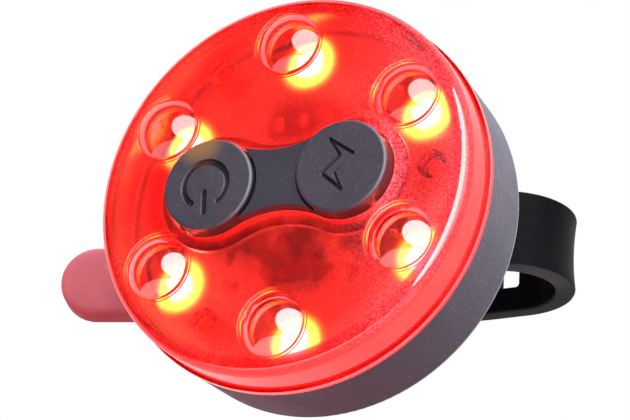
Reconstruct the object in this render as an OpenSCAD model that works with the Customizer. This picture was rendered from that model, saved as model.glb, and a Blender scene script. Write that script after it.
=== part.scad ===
// Rechargeable bicycle rear light: a round red lens on a grey case, two rubber
// buttons joined by a bridge, six lamps on a circuit board, and a rubber strap
// that hooks the light to a seat post. The face looks along -Y, +Z is up, and
// the origin is the middle of the curved saddle that lies against the post.

/* [Lens] */
// Radius of the red lens
lens_r = 25; // [22:0.5:30]
// Rounding where the lens face turns into its side
lens_edge_r = 1.4; // [0.8:0.1:1.8]
// Rise of the lens face from its edge to its middle
lens_crown = 0.35; // [0.2:0.05:0.6]
// Thickness of the lens face
lens_wall = 2; // [1.6:0.1:2.2]
// Thickness of the lens side
lens_side_wall = 1.8; // [1.4:0.1:2]
// How far the joint with the case lies in front of the circuit board
board_set = 0.5; // [0.3:0.1:0.7]
// How far the lip at the joint stands out
lip_out = 0.36; // [0.2:0.02:0.6]
// Height of the lip at the joint
lip_h = 0.9; // [0.6:0.1:1.2]

/* [Bubbles] */
// Number of lamps and of clear bubbles over them
lamp_count = 6; // [4:1:6]
// Distance of each bubble's middle from the lens side
bubble_inset = 6.3; // [6:0.1:6.6]
// Radius of a bubble at its rim
bubble_r = 4.2; // [3.4:0.1:4.3]
// Height of a bubble over the face
bubble_h = 2; // [1.2:0.1:2.4]
// Width of the groove around a bubble
bubble_groove_w = 0.45; // [0.3:0.05:0.5]
// Depth of the groove around a bubble
bubble_groove_d = 0.3; // [0.2:0.05:0.5]
// Thickness of a bubble's shell
bubble_wall = 1.3; // [1:0.1:1.5]

/* [Buttons] */
// Radius of a button
button_r = 6.03; // [5.4:0.05:6.3]
// Distance of a button from the middle of the face
button_x = 8.95; // [8.6:0.05:9.2]
// Height of a button over the face edge
button_rise = 2.04; // [1.8:0.02:2.6]
// Rounding of a button's edge
button_edge_r = 0.45; // [0.3:0.05:0.7]
// Inward travel of a button
button_travel = 0.5; // [0.3:0.05:0.5]
// Smallest width of the bridge between the buttons
bridge_w = 7.6; // [6.5:0.1:8.5]
// Height of the bridge over the face edge
bridge_rise = 1.34; // [1.1:0.02:1.4]
// Gap between a button and the rubber around it
button_gap = 0.25; // [0.2:0.05:0.35]
// Gap between the rubber bridge and the lens
pad_gap = 0.35; // [0.3:0.05:0.5]
// Width of the hidden rubber flange under the lens
flange_w = 1.3; // [1:0.1:1.5]
// Thickness of the rubber flange
flange_t = 0.8; // [0.6:0.1:0.9]
// Gap between the rubber flange and a lens boss
boss_gap = 0.3; // [0.2:0.05:0.5]

/* [Case] */
// Gap between the circuit board and the battery cell
cell_air = 1.4; // [1.2:0.1:4]
// How far the case stands out past the lens side at the joint
case_step = 0.3; // [0.1:0.05:0.35]
// How much narrower the case is at its back
case_draft = 0.63; // [0.3:0.01:0.9]
// Thickness of the case wall
case_wall = 2.2; // [2:0.1:2.4]
// Thickness of the case floor
case_floor = 1.8; // [1.6:0.1:2]
// Rounding of the case's back edge
case_edge_r = 0.8; // [0.4:0.1:1.2]
// Gap between the case and the lens at the joint
joint_gap = 0.05; // [0.03:0.01:0.1]
// Width of the sealing ring
seal_w = 0.55; // [0.4:0.05:0.6]
// Depth of the groove for the sealing ring
seal_depth = 0.5; // [0.4:0.05:0.6]

/* [Case screws] */
// Number of screws through the case floor
screw_count = 3; // [3:1:3]
// Distance of the screws from the lens side
screw_inset = 5.4; // [5.2:0.1:5.6]
// Radius of a screw's shank
screw_r = 1; // [0.8:0.05:1.1]
// Radius of a screw's head
screw_head_r = 1.8; // [1.6:0.05:1.9]
// Height of a screw's head
screw_head_h = 1.1; // [0.8:0.1:1.1]
// Radius of the lens bosses that take the screws
boss_r = 1.9; // [1.7:0.05:2.1]
// Radius of the case posts that the screws pass through
post_r = 2.5; // [2.3:0.05:2.7]
// Gap round a screw's shank in its boss
thread_gap = 0.05; // [0.03:0.01:0.08]
// Gap round a screw where it passes freely
screw_clear = 0.25; // [0.15:0.05:0.3]

/* [Electronics] */
// Gap between the circuit board and the case wall
board_gap = 0.8; // [0.5:0.1:1.2]
// Thickness of the circuit board
board_t = 1.2; // [0.8:0.1:1.4]
// Length of the foot under a button that meets the switch stem
button_foot = 0.6; // [0.4:0.1:0.8]
// Width of a lamp's base along the ring
lamp_w = 3.4; // [2.8:0.1:3.6]
// Width of a lamp's base towards the middle
lamp_l = 2.8; // [2.4:0.1:3.2]
// Height of a lamp's base
lamp_base_h = 0.9; // [0.6:0.1:1.2]
// Radius of a lamp's clear dome
lamp_dome_r = 1.2; // [0.9:0.1:1.3]
// Side of a push switch
switch_w = 6; // [5:0.1:6.2]
// Height of a push switch's body
switch_h = 3; // [2.8:0.1:3.1]
// Radius of a push switch's stem
stem_r = 1.7; // [1.4:0.1:1.9]
// Height of the stem over the switch body
stem_rise = 0.6; // [0.6:0.05:0.7]
// Running gap of the stem in the switch body
stem_gap = 0.06; // [0.04:0.01:0.1]
// Width of the control chip
chip_w = 5; // [4:0.1:5.4]
// Height of the control chip's body
chip_h = 1.3; // [1:0.1:1.5]
// Distance of the battery cell's corners from the case wall
cell_margin = 5.07; // [5:0.01:7]
// Width of the battery cell
cell_w = 20; // [18:0.5:20]
// Thickness of the battery cell
cell_t = 5; // [4:0.1:5.2]
// Thickness of the foam pad under the cell
foam_t = 0.8; // [0.6:0.1:0.9]
// Radius of a battery lead
lead_r = 0.5; // [0.4:0.05:0.6]

/* [Charging port] */
// Width of the charging socket
port_w = 8.9; // [8.7:0.05:9]
// Height of the charging socket
port_h = 3.2; // [3.1:0.05:3.3]
// Length of the charging socket
port_l = 7.3; // [6.8:0.1:7.5]
// Thickness of the socket's steel shell
port_shell = 0.3; // [0.25:0.05:0.35]
// Thickness of the rubber cover over the port
cover_t = 1.1; // [1:0.05:1.2]
// Width of the rubber cover round the case
cover_w = 13.6; // [13:0.1:14]
// Height of the rubber cover front to back
cover_h = 4.6; // [4.2:0.1:4.7]
// Gap between the rubber cover and the case
cover_gap = 0.2; // [0.15:0.05:0.25]

/* [Bracket] */
// Radius of the saddle face that lies against the post
saddle_r = 16; // [15:0.5:18]
// Thickness of the rubber saddle pad
pad_t = 1.2; // [0.9:0.1:1.3]
// Distance from the case's back to the post
stand_off = 3.2; // [3.1:0.1:4]
// Width of the bracket
bracket_w = 26; // [25:0.5:26]
// Height of the bracket
bracket_h = 32; // [30:0.5:32]
// Rounding of the bracket's corners
bracket_corner_r = 5; // [3:0.5:6]
// Gap between the battery cell and the posts of the bracket screws
bracket_screw_gap = 0.6; // [0.4:0.1:0.9]
// Radius of the pin that carries the strap
pin_r = 1; // [0.8:0.05:1.1]
// Distance of the pin from the side of the bracket plate
pin_out = 2; // [1.6:0.1:2.2]
// Thickness of an ear that holds the pin
ear_t = 2.2; // [1.6:0.1:2.4]
// Running gap of the strap's eye on the pin
pin_gap = 0.06; // [0.04:0.01:0.1]
// Gap between the strap and the bracket
strap_gap = 0.35; // [0.3:0.05:0.5]
// Thickness of the hook's post
hook_t = 1.6; // [1.3:0.1:1.7]
// How far the hook's lip stands out
hook_lip = 0.9; // [0.6:0.1:1]
// Height of the hook's post across the strap
hook_w = 3; // [2.4:0.1:3.2]

/* [Strap] */
// Width of the strap
strap_w = 10.1; // [9.5:0.1:10.5]
// Thickness of the strap
strap_t = 2.6; // [2.2:0.1:2.8]
// Outer radius of the strap's bend
bend_r = 9.06; // [8.6:0.02:9.4]
// Length of the strap from the pin to its bend
near_run_l = 2.6; // [2.4:0.1:3]
// Radius of the strap's eye on the pin
eye_r = 2.4; // [2.2:0.05:2.5]
// Gap between the case's back and the front of the strap
strap_set = 3.7; // [3.6:0.1:4]
// Length of the strap from its bend to its long curve
far_run_l = 4.1; // [3.6:0.1:5]
// Radius of the strap's long curve
curve_r = 39; // [37:0.5:40]
// Angle by which the strap's free end turns forwards
run_angle = 17.5; // [17:0.1:18]
// Length of the strap from the hook to the pull tab
hook_to_tab = 7.9; // [6.5:0.1:10]
// Length of a fitting slot along the strap
slot_l = 3; // [2.6:0.1:3.2]
// Width of a fitting slot across the strap
slot_w = 3.6; // [3.4:0.1:4]
// Number of fitting slots
slot_count = 4; // [1:1:4]
// Distance from one fitting slot to the next
slot_pitch = 8.6; // [8:0.1:8.8]
// Distance of the first fitting slot from the middle of the bend
slot_set = 2.1; // [1.6:0.1:2.6]
// Length of the slot that takes the hook
hook_slot_l = 4.6; // [4.4:0.1:4.8]
// Distance of the hook from the side of the bracket plate
hook_out = 8.5; // [8:0.1:9]

/* [Pull tab] */
// Length of the pull tab
tab_l = 14; // [12:0.5:15]
// Width of the pull tab
tab_w = 9.6; // [9:0.1:10]
// Thickness of the pull tab
tab_t = 4.2; // [3.6:0.1:4.4]
// Rounding of the pull tab's long edges
tab_edge_r = 1; // [0.6:0.1:1.3]

/* [Hidden] */

$fn = 96;
// Overrun of every cut past the face that it opens
cut = 1;
// Overlap of two stretches of the strap that run into each other
seam = 0.01;

// Heights in the light's own frame: zero at the face edge, plus towards the viewer
flange_z = -lens_wall;
button_bottom_z = flange_z - flange_t;
stem_top_z = button_bottom_z - button_foot;
switch_top_z = stem_top_z - stem_rise;
board_z = switch_top_z - switch_h;
joint_z = board_z + board_set;
board_back_z = board_z - board_t;
cell_gap = 0.1;
floor_z = board_back_z - cell_air - cell_t - cell_gap - foam_t;
back_z = floor_z - case_floor;
case_depth = joint_z - back_z;
// Place of the face along Y, so that the saddle lies at the origin
face_y = back_z - stand_off;
case_back_y = -stand_off;

// Large circle that gives the lens face its crown
crown_edge_r = lens_r - lens_edge_r;
crown_r = (crown_edge_r * crown_edge_r + lens_crown * lens_crown) / (2 * lens_crown);
// Ball that makes a bubble
bubble_ball_r = (bubble_r * bubble_r + bubble_h * bubble_h) / (2 * bubble_h);
// Circle that is tangent to both buttons and makes a side of the bridge
bridge_side_r = (button_x * button_x + bridge_w * bridge_w / 4 - button_r * button_r)
    / (2 * button_r - bridge_w);
lens_inner_r = lens_r - lens_side_wall;
bubble_ring_r = lens_r - bubble_inset;
screw_ring_r = lens_r - screw_inset;
case_front_r = lens_r + case_step;
case_back_r = case_front_r - case_draft;
case_inner_r = case_front_r - case_wall;
board_r = case_inner_r - board_gap;
seal_r = case_inner_r + lens_side_wall / 8;
lamp_step = 360 / lamp_count;
lamp_turn = 90;

// Battery and its wiring
cell_corner_r = case_inner_r - cell_margin;
cell_l = 2 * sqrt(cell_corner_r * cell_corner_r - cell_w * cell_w / 4);
bracket_screw_z = cell_w / 2 + bracket_screw_gap + post_r;
cell_z = floor_z + foam_t + cell_gap;
connector_w = 6;
connector_l = 4.4;
connector_h = 3.2;
connector_x = 8;
connector_gap = 0.5;
connector_y = cell_w / 2 + connector_gap + connector_l / 2;
lead_bend_r = 1.4;
lead_run = connector_y - cell_w / 2 - lead_bend_r;
lead_step = 2;

// Charging port
port_z = board_back_z - port_h / 2;
port_mouth_y = case_inner_r - port_shell;
cover_inner_r = case_front_r - case_wall / 10 - cover_t;
cover_knuckle_r = 0.6;
knuckle_gap = 0.25;
cover_end_x = -cover_w / 2 - cover_knuckle_r;
cover_hinge_z = sqrt(cover_inner_r * cover_inner_r - cover_end_x * cover_end_x)
    + cover_knuckle_r / 2;
tongue_gap = 0.25;
tongue_l = 2.2;

// Strap route seen from above, along the middle of its thickness
pin_x = bracket_w / 2 + pin_out;
bend_x = pin_x + near_run_l;
curve_x = bend_x - far_run_l;
slot_x = bend_x - slot_set;
hook_x = -bracket_w / 2 - hook_out;
bend_y = case_back_y + strap_set + bend_r;
bend_mid_r = bend_r - strap_t / 2;
far_y = bend_y + bend_mid_r;
pin_y = case_back_y + strap_set + eye_r;
curve_end_x = curve_x - curve_r * sin(run_angle);
curve_end_y = far_y - curve_r * (1 - cos(run_angle));
hook_y = curve_end_y - (curve_end_x - hook_x) * tan(run_angle);
run_to_tab = (curve_end_x - hook_x) / cos(run_angle) + hook_to_tab;
// The hook stands in the direction in which the strap lifts off it
hook_lean = atan2(hook_y - pin_y, pin_x - hook_x);
hook_shift = hook_slot_l / 11;
ear_z = strap_w / 2 + strap_gap;
arm_w = 8;
arm_t = 2.4;
hook_tip_t = 1;
tab_tongue_l = 4;
tab_tongue_t = 1.4;
tab_tongue_w = 5.6;
tab_fit = 0.05;

// Puts what is drawn in the light's own frame behind the face at its real place
module on_face() {
    translate([0, face_y, 0]) rotate([90, 0, 0]) children();
}

// Copies that stand around the middle of the face
module around(count, ring_r, turn) {
    for (i = [0 : count - 1])
        rotate([0, 0, turn + i * 360 / count]) translate([ring_r, 0, 0]) children();
}

module ring(outer_r, inner_r, h) {
    difference() {
        cylinder(r = outer_r, h = h);
        translate([0, 0, -cut]) cylinder(r = inner_r, h = h + 2 * cut);
    }
}

// Block in the light's own frame, centred on x and y, from z upwards
module block(x, y, z, size_x, size_y, h) {
    translate([x - size_x / 2, y - size_y / 2, z]) cube([size_x, size_y, h]);
}

// Outline of the two buttons and their bridge, larger all round by grow
module pad_outline(grow) {
    reach = bridge_side_r + button_r;
    meet_x = button_x * (bridge_side_r - grow) / reach;
    meet_y = (bridge_w / 2 + bridge_side_r) * (button_r + grow) / reach;
    for (s = [-1, 1]) translate([s * button_x, 0]) circle(r = button_r + grow);
    difference() {
        square([2 * meet_x, 2 * meet_y], center = true);
        for (s = [-1, 1])
            translate([0, s * (bridge_w / 2 + bridge_side_r)])
                circle(r = bridge_side_r - grow, $fn = 180);
    }
}

module lens_skin() {
    rotate_extrude() {
        intersection() {
            union() {
                translate([0, joint_z]) square([lens_r, -joint_z - lens_edge_r]);
                translate([0, -lens_edge_r * 1.5])
                    square([lens_r - lens_edge_r, lens_edge_r * 1.5 + lens_crown]);
                translate([lens_r - lens_edge_r, -lens_edge_r]) circle(r = lens_edge_r, $fn = 48);
                translate([0, joint_z]) square([lens_r + lip_out, lip_h]);
            }
            translate([0, lens_crown - crown_r]) circle(r = crown_r, $fn = 720);
            translate([0, joint_z]) square([lens_r + 2 * lip_out, 2 * lens_r]);
        }
    }
}

module lens_cover() {
    color("red") on_face() difference() {
        union() {
            difference() {
                lens_skin();
                translate([0, 0, joint_z - cut])
                    cylinder(r = lens_inner_r, h = cut - joint_z - lens_wall);
            }
            around(lamp_count, bubble_ring_r, lamp_turn)
                intersection() {
                    translate([0, 0, bubble_h - bubble_ball_r]) sphere(r = bubble_ball_r);
                    translate([0, 0, -lens_wall]) cylinder(r = bubble_r, h = lens_wall + bubble_h);
                }
            around(screw_count, screw_ring_r, 0)
                translate([0, 0, board_z]) cylinder(r = boss_r, h = -board_z - lens_wall / 2);
        }
        around(lamp_count, bubble_ring_r, lamp_turn) {
            translate([0, 0, bubble_h - bubble_ball_r]) intersection() {
                sphere(r = bubble_ball_r - bubble_wall);
                translate([0, 0, -bubble_ball_r])
                    cylinder(r = bubble_r - bubble_wall / 2, h = 2 * bubble_ball_r);
            }
            translate([0, 0, -bubble_groove_d])
                ring(bubble_r + bubble_groove_w, bubble_r, bubble_h);
        }
        around(screw_count, screw_ring_r, 0)
            translate([0, 0, board_z - cut])
                cylinder(r = screw_r + thread_gap, h = cut - board_z - 2 * lens_wall);
        translate([0, 0, -2 * lens_wall])
            linear_extrude(2 * lens_wall + bubble_h + cut) pad_outline(pad_gap);
    }
}

module case_skin() {
    rotate_extrude() {
        difference() {
            polygon([[0, joint_z - joint_gap], [case_front_r, joint_z - joint_gap],
                [case_back_r, back_z], [0, back_z]]);
            difference() {
                translate([case_back_r - case_edge_r, back_z - cut])
                    square([case_edge_r + cut, case_edge_r + cut]);
                translate([case_back_r - case_edge_r, back_z + case_edge_r])
                    circle(r = case_edge_r * 1.06, $fn = 48);
            }
        }
    }
}

module case_shell() {
    color("dimgray") on_face() difference() {
        union() {
            difference() {
                case_skin();
                translate([0, 0, floor_z]) cylinder(r = case_inner_r, h = case_depth);
            }
            around(screw_count, screw_ring_r, 0)
                translate([0, 0, floor_z - case_floor / 2])
                    cylinder(r = post_r, h = board_back_z - floor_z + case_floor / 2);
            for (s = [-1, 1])
                translate([0, s * bracket_screw_z, floor_z - case_floor / 2])
                    cylinder(r = post_r, h = case_floor / 2 + cell_t * 0.7);
        }
        translate([0, 0, joint_z - joint_gap - seal_depth])
            ring(seal_r + seal_w, seal_r, seal_depth + cut);
        around(screw_count, screw_ring_r, 0) {
            translate([0, 0, back_z - cut])
                cylinder(r = screw_r + screw_clear, h = case_depth + cut);
            translate([0, 0, back_z - cut])
                cylinder(r = screw_head_r + screw_clear, h = screw_head_h + cut);
        }
        for (s = [-1, 1])
            translate([0, s * bracket_screw_z, back_z - cut])
                cylinder(r = screw_r + thread_gap, h = case_floor + cell_t * 0.6 + cut);
        port_recess();
    }
}

// Window for the charging socket and the recess that its cover fills
module port_recess() {
    recess_h = cover_h + 2 * cover_gap;
    left = cover_end_x - cover_knuckle_r - 3 * knuckle_gap;
    right = cover_w / 2 + cover_gap;
    block(0, case_inner_r, port_z - port_h / 2 - tongue_gap / 2,
        port_w + tongue_gap, 2 * case_wall, port_h + tongue_gap);
    difference() {
        translate([left, 0, port_z - recess_h / 2])
            cube([right - left, case_front_r + cut, recess_h]);
        translate([0, 0, port_z - recess_h])
            cylinder(r = cover_inner_r - cover_gap / 2, h = 2 * recess_h);
        translate([left - cut, -cut, port_z - recess_h])
            cube([right - left + 2 * cut, case_inner_r * 0.8 + cut, 2 * recess_h]);
    }
    translate([cover_end_x, cover_hinge_z, port_z - recess_h / 2])
        cylinder(r = cover_knuckle_r + knuckle_gap, h = recess_h, $fn = 32);
}

module port_cover() {
    color("darkslategray") on_face() {
        intersection() {
            translate([0, 0, port_z - cover_h / 2])
                ring(cover_inner_r + cover_t, cover_inner_r, cover_h);
            translate([cover_end_x, 0, port_z - cover_h / 2])
                cube([cover_w / 2 - cover_end_x, case_front_r, cover_h]);
        }
        translate([0, cover_inner_r + cover_t / 2, port_z]) rotate([90, 0, 0])
            linear_extrude(tongue_l) port_outline(port_shell + tongue_gap);
        translate([cover_end_x, cover_hinge_z, port_z - cover_h / 2])
            cylinder(r = cover_knuckle_r, h = cover_h, $fn = 32);
    }
}

module sealing_ring() {
    color("black") on_face() translate([0, 0, joint_z - joint_gap - seal_depth])
        ring(seal_r + seal_w, seal_r, seal_depth + joint_gap);
}

module button_pad() {
    color("darkslategray") on_face() difference() {
        union() {
            translate([0, 0, flange_z - flange_t]) linear_extrude(flange_t)
                pad_outline(pad_gap + flange_w);
            translate([0, 0, flange_z - flange_t])
                linear_extrude(flange_t - flange_z + bridge_rise)
                    intersection() {
                        pad_outline(0);
                        square([2 * button_x, 2 * button_r], center = true);
                    }
        }
        for (s = [-1, 1])
            translate([s * button_x, 0, flange_z - flange_t - cut])
                cylinder(r = button_r + button_gap, h = flange_t - flange_z + bridge_rise + 2 * cut);
        around(screw_count, screw_ring_r, 0) translate([0, 0, button_bottom_z - cut])
            cylinder(r = boss_r + boss_gap, h = flange_t + cut);
    }
}

module button(side) {
    on_face() translate([side * button_x, 0, 0]) {
        rotate_extrude() {
            translate([0, button_bottom_z])
                square([button_r, button_rise - button_edge_r - button_bottom_z]);
            translate([0, button_rise - 2 * button_edge_r])
                square([button_r - button_edge_r, 2 * button_edge_r]);
            translate([button_r - button_edge_r, button_rise - button_edge_r])
                circle(r = button_edge_r, $fn = 48);
        }
        translate([0, 0, stem_top_z]) cylinder(r = stem_r, h = button_foot + flange_t / 2);
    }
}

module power_button() {
    color("darkslategray") button(-1);
}

module mode_button() {
    color("darkslategray") button(1);
}

module switch_stem(side) {
    on_face() translate([side * button_x, 0, switch_top_z - 2 * stem_rise])
        cylinder(r = stem_r, h = 3 * stem_rise);
}

module power_switch_stem() {
    color("black") switch_stem(-1);
}

module mode_switch_stem() {
    color("black") switch_stem(1);
}

module switch_body(side) {
    on_face() difference() {
        block(side * button_x, 0, board_z, switch_w, switch_w, switch_h);
        translate([side * button_x, 0, switch_top_z - 2 * stem_rise - button_travel - stem_gap])
            cylinder(r = stem_r + stem_gap, h = switch_h);
    }
}

module power_switch() {
    color("silver") switch_body(-1);
}

module mode_switch() {
    color("silver") switch_body(1);
}

module circuit_board() {
    color("darkgreen") on_face() difference() {
        translate([0, 0, board_back_z]) cylinder(r = board_r, h = board_t);
        around(screw_count, screw_ring_r, 0) translate([0, 0, board_back_z - cut])
            cylinder(r = screw_r + screw_clear, h = board_t + 2 * cut);
    }
}

module lamp(index) {
    color("lightyellow") on_face() rotate([0, 0, lamp_turn - index * lamp_step])
        translate([bubble_ring_r, 0, 0]) {
            block(0, 0, board_z, lamp_l, lamp_w, lamp_base_h);
            intersection() {
                translate([0, 0, board_z + lamp_base_h]) sphere(r = lamp_dome_r, $fn = 48);
                translate([0, 0, board_z + lamp_base_h / 2])
                    cylinder(r = 2 * lamp_dome_r, h = 2 * lamp_dome_r);
            }
        }
}

module led_1() { lamp(0); }
module led_2() { lamp(1); }
module led_3() { lamp(2); }
module led_4() { lamp(3); }
module led_5() { lamp(4); }
module led_6() { lamp(5); }

// Chip with its rows of legs, below the bridge
module control_chip() {
    chip_y = -button_r - chip_w * 0.7;
    leg = chip_h / 4;
    color("black") on_face() {
        block(0, chip_y, board_z + leg / 2, chip_w, chip_w * 0.8, chip_h);
        for (s = [-1, 1]) for (i = [-1.5 : 1 : 1.5])
            block(s * (chip_w / 2 + leg), chip_y + i * chip_w * 0.2, board_z,
                4 * leg, 1.4 * leg, leg);
    }
}

// One resistor beside each lamp and a row of parts above the bridge
module small_components() {
    part_l = lamp_l * 0.6;
    part_w = lamp_l * 0.3;
    color("saddlebrown") on_face() {
        for (i = [0 : lamp_count - 1])
            rotate([0, 0, lamp_turn - lamp_step / 2 + i * lamp_step])
                block(bubble_ring_r * 0.86, 0, board_z, part_w, part_l, lamp_base_h / 2);
        for (i = [-1 : 1])
            block(i * 2 * part_l, button_r * 1.75, board_z, part_w, part_l, lamp_base_h / 2);
    }
}

module charging_socket() {
    color("silver") on_face() translate([0, port_mouth_y, port_z]) rotate([90, 0, 0])
        difference() {
            linear_extrude(port_l) port_outline(0);
            translate([0, 0, -cut]) linear_extrude(port_l - port_shell + cut)
                port_outline(port_shell);
        }
}

module port_outline(inset) {
    end_r = port_h / 2 - inset;
    for (s = [-1, 1]) translate([s * (port_w - port_h) / 2, 0]) circle(r = end_r, $fn = 48);
    square([port_w - port_h, 2 * end_r], center = true);
}

module socket_tongue() {
    tongue_t = port_h / 4;
    tongue_w = port_w * 0.7;
    color("black") on_face()
        block(0, port_mouth_y - port_l * 0.65, port_z - tongue_t / 2,
            tongue_w, port_l * 0.7 - 2 * port_shell, tongue_t);
}

module battery_cell() {
    color("silver") on_face() block(0, 0, cell_z, cell_l, cell_w, cell_t);
}

module battery_foam_pad() {
    color("dimgray") on_face()
        block(0, 0, floor_z, cell_l * 0.9, cell_w * 0.9, foam_t);
}

module battery_connector() {
    color("ivory") on_face()
        block(connector_x, connector_y, board_back_z - connector_h,
            connector_w, connector_l, connector_h);
}

// Two leads that leave the cell's edge and turn up into the connector
module battery_leads() {
    lead_z = board_back_z - connector_h - lead_bend_r;
    color("red") on_face() for (s = [-1, 1])
        translate([connector_x + s * lead_step / 2, cell_w / 2, lead_z]) {
            rotate([-90, 0, 0]) cylinder(r = lead_r, h = lead_run, $fn = 32);
            translate([0, lead_run, lead_bend_r]) rotate([0, -90, 0]) rotate([0, 0, -180])
                mirror([0, 1, 0]) rotate_extrude(angle = 90, $fn = 64)
                    translate([lead_bend_r, 0]) circle(r = lead_r, $fn = 32);
        }
}

module case_screws() {
    tip_z = -2 * lens_wall - thread_gap;
    color("silver") on_face() around(screw_count, screw_ring_r, 0) difference() {
        union() {
            translate([0, 0, back_z]) cylinder(r = screw_head_r, h = screw_head_h);
            translate([0, 0, back_z]) cylinder(r = screw_r, h = tip_z - cut / 2 - back_z);
        }
        translate([0, 0, back_z - cut])
            cylinder(r = screw_r * 0.9, h = screw_head_h / 2 + cut, $fn = 6);
    }
}

// Bracket plan seen from above: plate, saddle hollow and the arm of the hook
module bracket_plan() {
    difference() {
        translate([-bracket_w / 2, case_back_y]) square([bracket_w, stand_off + arm_t]);
        translate([0, saddle_r]) circle(r = saddle_r + pad_t, $fn = 180);
    }
}

module bracket_front_outline() {
    corner_x = bracket_w / 2 - bracket_corner_r;
    corner_z = bracket_h / 2 - bracket_corner_r;
    square([bracket_w, 2 * corner_z], center = true);
    square([2 * corner_x, bracket_h], center = true);
    for (sx = [-1, 1]) for (sz = [-1, 1])
        translate([sx * corner_x, sz * corner_z]) circle(r = bracket_corner_r);
}

// Arm that reaches out to the strap, with its end parallel to the strap
module hook_arm_plan() {
    rest = strap_t / 2 + strap_gap;
    half = hook_slot_l / 2 + hook_lip;
    sx = sin(run_angle);
    cx = cos(run_angle);
    end_a = [hook_x - half * cx + rest * sx, hook_y - half * sx - rest * cx];
    end_b = [hook_x + half * cx + rest * sx, hook_y + half * sx - rest * cx];
    polygon([end_a, end_b, [-bracket_w / 2 + arm_t, arm_t],
        [-bracket_w / 2 + arm_t, case_back_y + arm_t / 2], [-bracket_w / 2, case_back_y + arm_t / 2]]);
}

module hook_post_plan() {
    foot = strap_t / 2 + strap_gap;
    top = strap_t / 2 / cos(run_angle + hook_lean) + hook_slot_l / 2 * tan(run_angle) + strap_gap;
    translate([hook_x, hook_y]) rotate(-hook_lean) {
        translate([hook_shift - hook_t / 2, -2 * foot]) square([hook_t, 2 * foot + top]);
        translate([hook_shift - hook_t / 2 - hook_lip, top])
            square([hook_t + hook_lip, hook_tip_t]);
    }
}

module mount_bracket() {
    color("black") difference() {
        union() {
            intersection() {
                translate([0, 0, -bracket_h / 2]) linear_extrude(bracket_h) bracket_plan();
                translate([0, stand_off * 3, 0]) rotate([90, 0, 0])
                    linear_extrude(stand_off * 5) bracket_front_outline();
            }
            for (s = [0, 1]) mirror([0, 0, s]) translate([0, 0, ear_z]) linear_extrude(ear_t) {
                translate([pin_x, pin_y]) circle(r = eye_r);
                polygon([[bracket_w / 4, case_back_y], [bracket_w / 2, case_back_y],
                    [pin_x + eye_r, pin_y], [pin_x, pin_y + eye_r], [bracket_w / 2 - arm_t, pin_y]]);
            }
            translate([0, 0, -arm_w / 2]) linear_extrude(arm_w) hook_arm_plan();
            translate([0, 0, -hook_w / 2]) linear_extrude(hook_w) hook_post_plan();
        }
        translate([0, saddle_r, -bracket_h]) cylinder(r = saddle_r + pad_t, h = 2 * bracket_h, $fn = 180);
        translate([pin_x, pin_y, -bracket_h]) cylinder(r = pin_r, h = 2 * bracket_h);
        translate([pin_x, pin_y, -ear_z]) cylinder(r = pin_out + eye_r, h = 2 * ear_z);
        for (s = [-1, 1]) translate([0, case_back_y - cut, s * bracket_screw_z])
            rotate([-90, 0, 0]) {
                cylinder(r = screw_r + screw_clear, h = stand_off + cut);
                translate([0, 0, stand_off - pad_t - screw_head_h + cut])
                    cylinder(r = screw_head_r + screw_clear, h = stand_off);
            }
    }
}

module saddle_pad() {
    pad_half = bracket_w / 2 - arm_t;
    color("dimgray") difference() {
        intersection() {
            translate([0, saddle_r, -bracket_h / 2])
                ring(saddle_r + pad_t, saddle_r, bracket_h, $fn = 180);
            translate([0, stand_off * 3, 0]) rotate([90, 0, 0]) linear_extrude(stand_off * 5)
                intersection() {
                    bracket_front_outline();
                    square([2 * pad_half, bracket_h], center = true);
                }
        }
        for (i = [-3 : 3]) translate([0, saddle_r, i * bracket_h / 8 - pad_t / 2])
            cylinder(r = saddle_r + pad_t / 3, h = pad_t, $fn = 180);
    }
}

module bracket_screws() {
    color("silver") for (s = [-1, 1])
        translate([0, -pad_t - screw_head_h, s * bracket_screw_z]) rotate([-90, 0, 0])
            difference() {
                union() {
                    cylinder(r = screw_head_r, h = screw_head_h);
                    translate([0, 0, pad_t + screw_head_h - stand_off - case_floor - cell_t * 0.5])
                        cylinder(r = screw_r, h = stand_off + case_floor + cell_t * 0.5
                            - pad_t - screw_head_h + cut / 2);
                }
                translate([0, 0, screw_head_h / 2])
                    cylinder(r = screw_r * 0.9, h = screw_head_h, $fn = 6);
            }
}

module anchor_pin() {
    color("silver") translate([pin_x, pin_y, -ear_z - ear_t])
        cylinder(r = pin_r, h = 2 * (ear_z + ear_t));
}

// Strap seen from above, up to the shoulder of the pull tab
module strap_plan() {
    translate([pin_x, pin_y]) circle(r = eye_r);
    translate([pin_x, bend_y - bend_r]) square([bend_x - pin_x, strap_t]);
    intersection() {
        difference() {
            translate([bend_x, bend_y]) circle(r = bend_r);
            translate([bend_x, bend_y]) circle(r = bend_r - strap_t);
        }
        translate([bend_x, bend_y - bend_r]) square([bend_r, 2 * bend_r]);
    }
    translate([curve_x, far_y - strap_t / 2]) square([bend_x - curve_x, strap_t]);
    intersection() {
        translate([curve_x, far_y - curve_r]) difference() {
            circle(r = curve_r + strap_t / 2, $fn = 360);
            circle(r = curve_r - strap_t / 2, $fn = 360);
        }
        polygon([[curve_x, far_y - curve_r], [curve_x, far_y + curve_r],
            [curve_x - 2 * curve_r * tan(run_angle), far_y + curve_r]]);
    }
    translate([curve_end_x, curve_end_y]) rotate(180 + run_angle)
        translate([-seam, -strap_t / 2]) square([run_to_tab + seam, strap_t]);
}

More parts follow.
